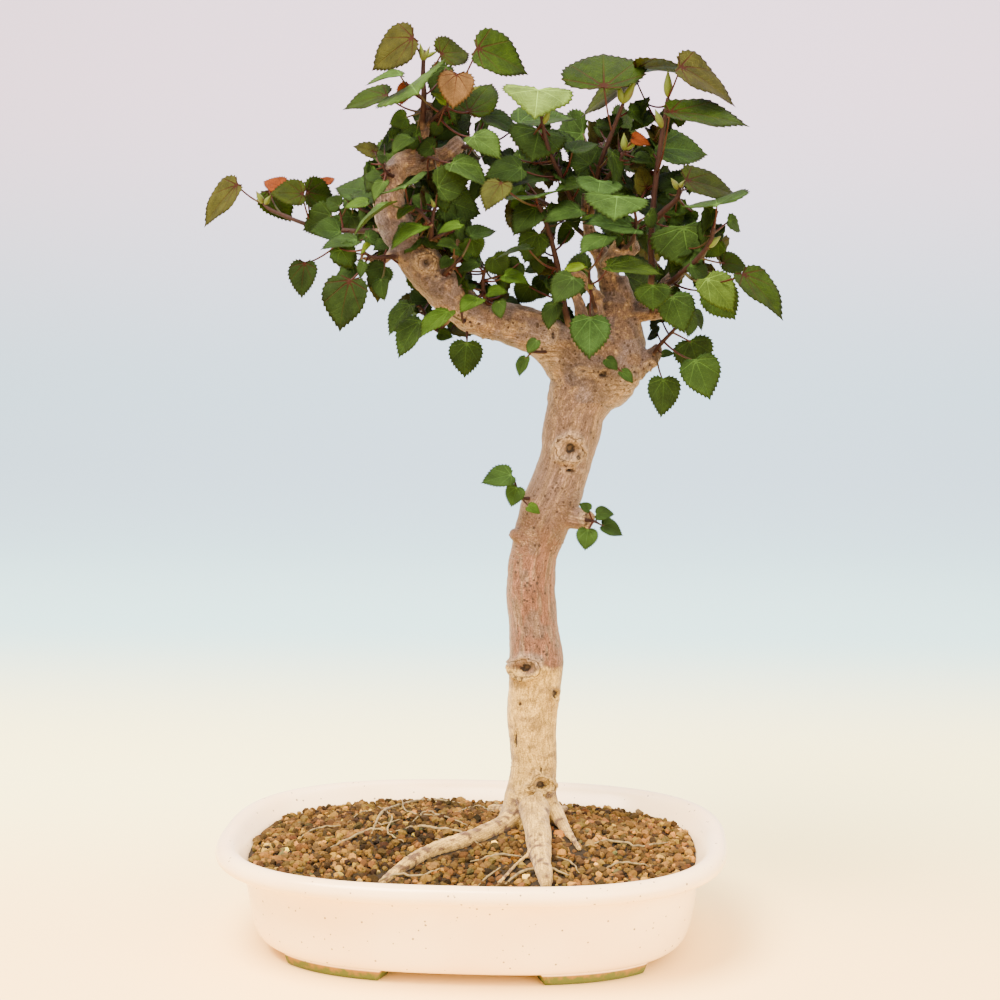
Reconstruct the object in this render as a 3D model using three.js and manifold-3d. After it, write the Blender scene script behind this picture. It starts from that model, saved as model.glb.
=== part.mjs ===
// A sea hibiscus bonsai in its glazed oval pot, in millimetres.
// The origin is on the ground under the middle of the pot, X runs along the pot, and Z is up.
import * as THREE from "three";
import { mergeVertices } from "three/addons/utils/BufferGeometryUtils.js";
import Module from "manifold-3d";

const wasm = await Module();
wasm.setup();

// Driving dimensions of the pot
const POT_LENGTH = 252;
const POT_WIDTH = 189;
const POT_HEIGHT = 54.6;
const POT_SQUARENESS = 2.75;
const POT_SIDES = 32;
const FLOOR_TOP = 10;
const FOOT_HEIGHT = 6;
const DRAIN_RADIUS = 7;
const DRAIN_SPACING = 58;
const NET_SIZE = 26;
const NET_THICKNESS = 0.9;
const NET_PITCH = 10.5;
const NET_OPENING = 7.5;

// Driving dimensions of the soil
const CLEARANCE = 0.35;
const SOIL_BOTTOM = FLOOR_TOP + 1.6;
const SOIL_EDGE = 46.5;
const SOIL_MOUND = 11;
const GRAIN = 1.1;

// Driving dimensions of the foliage
const BLADE_THICKNESS = 0.8;
const BLADE_WIDTH = 0.92;
const BLADE_CUP = 0.3;
const BLADE_DROOP = 0.16;
const STALK_WIDTH = 1.1;
const LONG_STALK = 14;
const STALK_SAG = 0.06;

// The plant is laid out as it is seen from the front, on a sheet held one metre from the eye.
// The sheet is ruled in half millimetres, counted right and down from its top left corner.
// A place is [right, down, depth], with depth in millimetres behind the middle of the pot.
const EYE = new THREE.Vector3(85.8, -963.3, 347);
const EYE_DISTANCE = 967;
const EYE_TURN = THREE.MathUtils.degToRad(4.3);
const EYE_PITCH = THREE.MathUtils.degToRad(7.5);
const SHEET_DISTANCE = 1000;
const SHEET_RULE = 0.5;
const SHEET_MIDDLE = 500;
const AHEAD = new THREE.Vector3(-Math.sin(EYE_TURN), Math.cos(EYE_TURN), 0);
const RIGHT = new THREE.Vector3(Math.cos(EYE_TURN), Math.sin(EYE_TURN), 0);

function seen([right, down, depth]) {
  const a = (right - SHEET_MIDDLE) * SHEET_RULE;
  const b = (SHEET_MIDDLE - down) * SHEET_RULE;
  const ahead = SHEET_DISTANCE * Math.cos(EYE_PITCH) + b * Math.sin(EYE_PITCH);
  const rise = b * Math.cos(EYE_PITCH) - SHEET_DISTANCE * Math.sin(EYE_PITCH);
  const reach = (EYE_DISTANCE + depth) / ahead;
  return EYE.clone()
    .addScaledVector(AHEAD, EYE_DISTANCE + depth)
    .addScaledVector(RIGHT, a * reach)
    .setZ(EYE.z + rise * reach);
}

// The real length of one step of the sheet's ruling, at a depth
function step(depth) {
  return (SHEET_RULE * (EYE_DISTANCE + depth)) / SHEET_DISTANCE;
}

function geometryOf(points, faces) {
  const geometry = new THREE.BufferGeometry();
  const flat = points.flatMap((p) => [p.x, p.y, p.z]);
  geometry.setAttribute("position", new THREE.Float32BufferAttribute(flat, 3));
  geometry.setIndex(faces.flat());
  return geometry;
}

function solidOf(geometry) {
  const bare = geometry.clone();
  bare.deleteAttribute("normal");
  bare.deleteAttribute("uv");
  const merged = mergeVertices(bare, 1e-4);
  const vertProperties = merged.attributes.position.array;
  const triVerts = new Uint32Array(merged.index.array);
  return new wasm.Manifold(new wasm.Mesh({ numProp: 3, vertProperties, triVerts }));
}

function joined(solids) {
  return solids.reduce((sum, solid) => sum.add(solid));
}

// The largest body of a solid, without the loose scraps that a cut leaves
function mainBody(solid) {
  const bodies = solid.decompose();
  return bodies.reduce((best, body) => (body.volume() > best.volume() ? body : best));
}

function meshOf(name, solid, colour, roughness) {
  const mesh = solid.getMesh();
  const geometry = new THREE.BufferGeometry();
  const positions = new Float32Array(mesh.vertProperties);
  geometry.setAttribute("position", new THREE.BufferAttribute(positions, 3));
  geometry.setIndex(new THREE.BufferAttribute(new Uint32Array(mesh.triVerts), 1));
  geometry.computeVertexNormals();
  const material = new THREE.MeshStandardMaterial({ color: colour, roughness, metalness: 0 });
  const made = new THREE.Mesh(geometry, material);
  made.name = name;
  return made;
}

// Rings of points, one after another, joined into a closed skin with a flat cap at each end
function skin(rings) {
  const sides = rings[0].length;
  const faces = [];
  for (let k = 0; k + 1 < rings.length; k++) {
    for (let i = 0; i < sides; i++) {
      const a = k * sides + i;
      const b = k * sides + ((i + 1) % sides);
      faces.push([a, b, b + sides], [a, b + sides, a + sides]);
    }
  }
  const last = (rings.length - 1) * sides;
  for (let i = 1; i + 1 < sides; i++) {
    faces.push([0, i + 1, i], [last, last + i, last + i + 1]);
  }
  return geometryOf(rings.flat(), faces);
}

// A round bar that swells and thins along a smooth path through the given points
function limb(points, radii, sides, steps, lumps = 0) {
  const curve = new THREE.CatmullRomCurve3(points, false, "centripetal");
  const across = new THREE.Vector3();
  const rings = [];
  for (let k = 0; k <= steps; k++) {
    const t = k / steps;
    const centre = curve.getPoint(t);
    const along = curve.getTangent(t);
    if (k === 0) across.crossVectors(along, Math.abs(along.z) > 0.8 ? RIGHT : new THREE.Vector3(0, 0, 1));
    across.addScaledVector(along, -across.dot(along)).normalize();
    const other = along.clone().cross(across);
    const place = t * (radii.length - 1);
    const low = Math.min(Math.floor(place), radii.length - 2);
    const radius = THREE.MathUtils.lerp(radii[low], radii[low + 1], place - low);
    const ring = [];
    for (let i = 0; i < sides; i++) {
      const turn = (2 * Math.PI * i) / sides;
      const swell = 1 + lumps * Math.sin(2 * turn + 5 * t) * Math.cos(3 * turn - 11 * t);
      ring.push(
        centre
          .clone()
          .addScaledVector(across, radius * swell * Math.cos(turn))
          .addScaledVector(other, radius * swell * Math.sin(turn)),
      );
    }
    rings.push(ring);
  }
  return skin(rings);
}

// The oval of the pot at a distance in from its outermost edge
function oval(inset, height) {
  const ring = [];
  for (let i = 0; i < POT_SIDES; i++) {
    ring.push(ovalPoint((2 * Math.PI * i) / POT_SIDES, inset, height));
  }
  return ring;
}

function ovalPoint(turn, inset, height) {
  const power = 2 / POT_SQUARENESS;
  const c = Math.cos(turn);
  const s = Math.sin(turn);
  const x = (POT_LENGTH / 2 - inset) * Math.sign(c) * Math.abs(c) ** power;
  const y = (POT_WIDTH / 2 - inset) * Math.sign(s) * Math.abs(s) ** power;
  return new THREE.Vector3(x, y, height);
}

// The pot's section, as [inset, height] from the underside up over the rolled lip to the floor
const OUTER_WALL = [
  [27, 5],
  [22, 6.2],
  [18.5, 11],
  [16.4, 19],
  [15.2, 29],
  [13.8, 39],
  [8.2, 44.6],
  [2.2, 45.6],
  [0, 49],
  [1.2, 52.6],
  [4, POT_HEIGHT],
];
const INNER_WALL = [
  [8.5, POT_HEIGHT - 0.5],
  [16.8, 44],
  [20, 31],
  [22.5, 20],
  [30, FLOOR_TOP],
];

function foot(middle) {
  const [outer, inner] = [24, 37];
  const rings = [];
  const steps = 4;
  const reach = 0.34;
  for (let k = 0; k <= steps; k++) {
    const turn = middle - reach + (2 * reach * k) / steps;
    rings.push([
      ovalPoint(turn, outer, FOOT_HEIGHT),
      ovalPoint(turn, outer + 1.5, 0),
      ovalPoint(turn, inner - 2, 0),
      ovalPoint(turn, inner, FOOT_HEIGHT),
    ]);
  }
  return solidOf(skin(rings));
}

function round(radius, height, x, y, z, sides) {
  const geometry = new THREE.CylinderGeometry(radius, radius, height, sides);
  geometry.rotateX(Math.PI / 2);
  geometry.translate(x, y, z);
  return solidOf(geometry);
}

function potSolid() {
  const rings = [...OUTER_WALL, ...INNER_WALL].map(([inset, height]) => oval(inset, height));
  let pot = solidOf(skin(rings));
  for (const middle of [0.31, 0.69, 1.31, 1.69]) pot = pot.add(foot(middle * Math.PI));
  for (const side of [-1, 1]) {
    pot = pot.subtract(round(DRAIN_RADIUS, 20, side * DRAIN_SPACING, 0, FLOOR_TOP, 16));
  }
  return pot;
}

// A square of plastic netting over each drain hole
function drainNet(side) {
  const plate = new THREE.BoxGeometry(NET_SIZE, NET_SIZE, NET_THICKNESS);
  plate.translate(side * DRAIN_SPACING, 0, FLOOR_TOP + CLEARANCE + NET_THICKNESS / 2);
  let net = solidOf(plate);
  for (const i of [-0.5, 0.5]) {
    for (const j of [-0.5, 0.5]) {
      const hole = new THREE.BoxGeometry(NET_OPENING, NET_OPENING, 6);
      hole.translate(side * DRAIN_SPACING + i * NET_PITCH, j * NET_PITCH, FLOOR_TOP);
      net = net.subtract(solidOf(hole));
    }
  }
  return net;
}

// The ground: a low mound of grains, highest at the foot of the trunk
function soilSolid(wood) {
  const wall = [
    [32, SOIL_BOTTOM],
    [22.5 + CLEARANCE + 0.3, 20],
    [20 + CLEARANCE + 0.3, 31],
    [16.8 + CLEARANCE + 0.3, 44],
  ];
  const rings = wall.map(([inset, height]) => oval(inset, height));
  const rim = POT_WIDTH / 2 - 15.7;
  const bands = 6;
  for (let k = bands; k >= 1; k--) {
    const inset = POT_WIDTH / 2 - (rim * k) / bands;
    const spread = (1 - k / bands) ** 1.6;
    rings.push(
      oval(inset, 0).map((p, i) => {
        const grain = Math.sin(i * 12.9 + k * 78.2) * Math.cos(i * 4.1 - k * 37.7);
        const height = SOIL_EDGE + SOIL_MOUND * Math.min(1, spread * 1.5) + GRAIN * grain;
        return p.setZ(k === bands ? SOIL_EDGE + 0.5 * grain : height);
      }),
    );
  }
  return mainBody(solidOf(skin(rings)).subtract(wood));
}

// Wood, each as a list of [right, down, depth, half width on the sheet]
const TRUNK = [
  [530, 872, 12, 8],
  [530, 845, 12, 22],
  [531, 822, 12, 35],
  [531, 804, 12, 29],
  [532, 785, 12, 25],
  [534, 760, 12, 23.5],
  [532, 726, 12, 25.5],
  [534, 690, 12, 26.3],
  [536, 661, 12, 28.2],
  [533, 622, 12, 24.5],
  [531, 589, 12, 25.2],
  [534, 554, 12, 23.7],
  [540, 533, 12, 26.5],
  [546, 514, 12, 27],
  [554, 495, 12, 27.3],
  [561, 476, 12, 27],
  [566, 456, 12, 27],
  [571, 434, 12, 29],
  [575, 412, 12, 29.5],
  [583, 392, 13, 35],
  [597, 372, 14, 43],
  [611, 348, 15, 38],
  [617, 322, 16, 26],
  [617, 298, 17, 17],
  [616, 276, 18, 11],
];
const LEFT_BRANCH = [
  [592, 384, 13, 30],
  [566, 352, 12, 30],
  [537, 333, 10, 22],
  [508, 323, 8, 20.5],
  [480, 318, 6, 18],
  [460, 305, 4, 20],
  [440, 284, 3, 20.5],
  [421, 262, 3, 21],
  [402, 236, 4, 20],
  [390, 212, 5, 17],
  [390, 190, 6, 14],
  [398, 168, 7, 13],
  [420, 161, 7, 12],
  [444, 156, 6, 9],
  [462, 140, 4, 8],
];
const STUBS = [
  [[405, 168, 8, 9], [416, 148, 8, 9], [424, 124, 7, 7], [431, 102, 6, 6.5]],
  [[398, 182, 5, 6], [391, 163, 1, 5]],
  [[395, 250, -2, 5], [384, 260, -8, 4], [362, 258, -12, 3]],
  [[438, 276, 0, 6], [452, 266, -4, 4], [459, 238, -8, 3]],
  [[585, 330, 6, 8], [579, 305, 2, 6], [572, 286, 0, 5]],
  [[600, 300, 6, 6], [588, 286, 1, 4.5], [579, 274, -1, 4.5], [568, 272, -2, 4]],
  [[600, 330, 8, 7], [595, 290, 4, 5.5]],
  [[613, 300, 17, 12], [604, 262, 17, 9], [590, 232, 16, 7], [585, 192, 15, 5]],
  [[606, 268, 12, 9], [622, 250, 6, 11], [638, 244, 3, 7]],
  [[630, 256, 5, 5], [633, 235, -2, 4.5]],
  [[630, 322, 14, 9], [650, 300, 12, 7], [679, 271, 10, 5]],
  [[632, 318, 10, 7], [666, 313, 4, 5]],
  [[630, 370, 10, 14], [652, 356, 7, 9], [659, 346, 5, 5]],
  [[553, 512, 6, 15], [574, 519, 3, 12], [591, 520, 1, 9]],
  [[516, 536, 6, 8], [509, 532, 4, 4]],
];
const ROOTS = [
  [
    [518, 812, 8, 12], [500, 826, -9, 10], [470, 838, -23, 8],
    [430, 851, -34, 7.5], [405, 865, -46, 6.5], [380, 884, -61, 4],
  ],
  [[534, 806, 0, 16], [538, 832, -20, 13], [541, 858, -42, 11], [546, 882, -64, 7.5]],
  [[552, 808, 8, 10], [566, 829, -12, 5], [580, 850, -30, 3]],
  [[540, 804, 20, 12], [552, 811, 40, 7], [566, 809, 56, 4]],
  [[526, 804, 20, 12], [508, 810, 40, 7], [490, 808, 56, 4]],
];
// The smallest step kept on the wood's skin
const WOOD_DETAIL = 0.4;

// Healed scars: [right, down, depth, half width, half height, hole as a share of the scar]
const SCARS = [
  [569, 447, -1, 13, 20, 0.45],
  [524, 668, 0, 13, 10, 0.45],
  [541, 784, 1, 12, 9, 0.5],
  [428, 262, -6, 12, 11, 0.35],
];

function wood(parts, sides, steps, grow, lumps) {
  const points = parts.map((p) => seen(p));
  const radii = parts.map((p) => p[3] * step(p[2]) + grow);
  return solidOf(limb(points, radii, sides, steps, lumps));
}

function scar([right, down, depth, wide, high, hole]) {
  const ring = new THREE.SphereGeometry(1, 8, 5);
  const size = step(depth);
  const middle = seen([right, down, depth]);
  const bump = ring.clone().scale(wide * size, 3.2, high * size);
  const pit = ring.clone().scale(wide * hole * size, 3.4, high * hole * size);
  bump.translate(middle.x, middle.y, middle.z);
  pit.translate(middle.x, middle.y - 3, middle.z);
  return { bump: solidOf(bump), pit: solidOf(pit) };
}

function woodSolid(grow) {
  let made = wood(TRUNK, 11, 23, grow, 0.06).add(wood(LEFT_BRANCH, 9, 15, grow, 0.06));
  for (const stub of STUBS) made = made.add(wood(stub, 5, Math.max(2, stub.length - 1), grow, 0));
  for (const root of ROOTS) made = made.add(wood(root, 5, root.length, grow, 0));
  if (grow === 0) {
    for (const each of SCARS.map(scar)) made = made.add(each.bump).subtract(each.pit);
  }
  return made.simplify(WOOD_DETAIL);
}

// Half a leaf's edge from the stalk round the lobe to the tip, as [along, aside] shares of its length
const EDGE_LARGE = [
  [-0.08, 0.2],
  [0.1, 0.49],
  [0.22, 0.43],
  [0.4, 0.45],
  [0.52, 0.31],
  [0.72, 0.23],
];
const EDGE_MIDDLE = [
  [-0.06, 0.28],
  [0.16, 0.49],
  [0.42, 0.43],
  [0.66, 0.22],
];
const EDGE_SMALL = [
  [0.05, 0.46],
  [0.55, 0.36],
];
const LARGE_LEAF = 24;
const MIDDLE_LEAF = 14;
const BLADE_HUB = 0.3;

// A leaf: [stalk end right, down, depth, tip right, tip down, tip further back by, width seen,
// stalk foot right, down]. A width below zero shows the underside.
function leafFrame([right, down, depth, tipRight, tipDown, lean, wide]) {
  const joint = seen([right, down, depth]);
  const along = seen([tipRight, tipDown, depth + lean]).sub(joint);
  const length = along.length();
  along.normalize();
  const toEye = EYE.clone().sub(joint).normalize();
  const flat = along.clone().cross(toEye).normalize();
  const deep = flat.clone().cross(along).normalize();
  const width = Math.max(Math.abs(wide) * step(depth), BLADE_WIDTH * length * 0.999);
  const roll = Math.acos(Math.min(1, (Math.abs(wide) * step(depth)) / width));
  const choices = [roll, -roll].map((turn) => {
    const aside = flat.clone().multiplyScalar(Math.cos(turn)).addScaledVector(deep, Math.sin(turn));
    const face = along.clone().cross(aside).normalize();
    if (face.dot(toEye) < 0) face.negate();
    return { aside, face };
  });
  choices.sort((p, q) => q.face.z - p.face.z);
  const { aside, face } = wide > 0 ? choices[0] : choices[1];
  const up = face.clone().multiplyScalar(wide > 0 || face.z > 0 ? 1 : -1);
  return { joint, along, aside, up, length, width };
}

// The nearest point of a shoot's stems to a place on the sheet
function footOn(stems, right, down) {
  let best = null;
  for (const stem of stems) {
    const path = stem.map((p) => new THREE.Vector3(...p));
    for (const p of new THREE.CatmullRomCurve3(path, false, "centripetal").getPoints(24)) {
      const gap = Math.hypot(p.x - right, p.y - down);
      if (!best || gap < best.gap) best = { gap, place: [p.x, p.y, p.z] };
    }
  }
  return seen(best.place);
}

// A leaf blade with its stalk, which runs from the stem and turns into the notch of the blade
function leafSolid(leaf, stems) {
  const { joint, along, aside, up, length, width } = leafFrame(leaf);
  const edge = length > LARGE_LEAF ? EDGE_LARGE : length > MIDDLE_LEAF ? EDGE_MIDDLE : EDGE_SMALL;
  const notch = STALK_WIDTH / 2 / width;
  const half = [[0, notch], ...edge];
  const mirrored = half.map(([t, s]) => [t, -s]).reverse();
  const middle = [[BLADE_HUB, 0], ...half, [1, 0], ...mirrored].map(([t, s]) =>
    joint
      .clone()
      .addScaledVector(along, length * t)
      .addScaledVector(aside, width * s)
      .addScaledVector(up, length * (BLADE_CUP * Math.abs(s) - BLADE_DROOP * t * t)),
  );
  const count = middle.length;
  const points = [BLADE_THICKNESS / 2, -BLADE_THICKNESS / 2].flatMap((lift) =>
    middle.map((p) => p.clone().addScaledVector(up, lift)),
  );
  const hand = Math.sign(along.clone().cross(aside).dot(up));
  const faces = [];
  const put = (a, b, c) => faces.push(hand > 0 ? [a, c, b] : [a, b, c]);
  for (let i = 1; i < count; i++) {
    const next = i + 1 < count ? i + 1 : 1;
    put(0, i, next);
    put(count, count + next, count + i);
    if (i + 1 === count) continue;
    put(i, count + i, count + next);
    put(i, count + next, next);
  }

  const foot = footOn(stems, leaf[7], leaf[8]);
  const below = Math.sign(foot.clone().sub(joint).dot(up));
  const neck = joint.clone().addScaledVector(along, -1.2).addScaledVector(up, below);
  const run = neck.clone().sub(foot).normalize();
  const bend = run.clone().add(along).addScaledVector(up, -0.8 * below).normalize();
  const rings = [[foot, run, 0.7], [neck, bend, 1]];
  if (foot.distanceTo(joint) > LONG_STALK) {
    const sag = foot.clone().lerp(neck, 0.55);
    sag.z -= STALK_SAG * foot.distanceTo(neck);
    rings.splice(1, 0, [sag, run, 1]);
  }
  let last = [count - 1, 2 * count - 1, count + 1, 1];
  for (const [centre, way, size] of rings.reverse()) {
    const wide = aside.clone().addScaledVector(way, -way.dot(aside)).normalize();
    const tall = way.clone().cross(wide).multiplyScalar(hand);
    const start = points.length;
    for (const [i, j] of [[-1, 1], [-1, -1], [1, -1], [1, 1]]) {
      const corner = centre.clone().addScaledVector(wide, (i * size * STALK_WIDTH) / 2);
      points.push(corner.addScaledVector(tall, (j * size * STALK_WIDTH) / 2));
    }
    const ring = [start, start + 1, start + 2, start + 3];
    for (let i = 0; i < 4; i++) {
      const next = (i + 1) % 4;
      put(last[i], last[next], ring[next]);
      put(last[i], ring[next], ring[i]);
    }
    last = ring;
  }
  put(last[0], last[1], last[2]);
  put(last[0], last[2], last[3]);
  return solidOf(geometryOf(points, faces));
}

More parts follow.
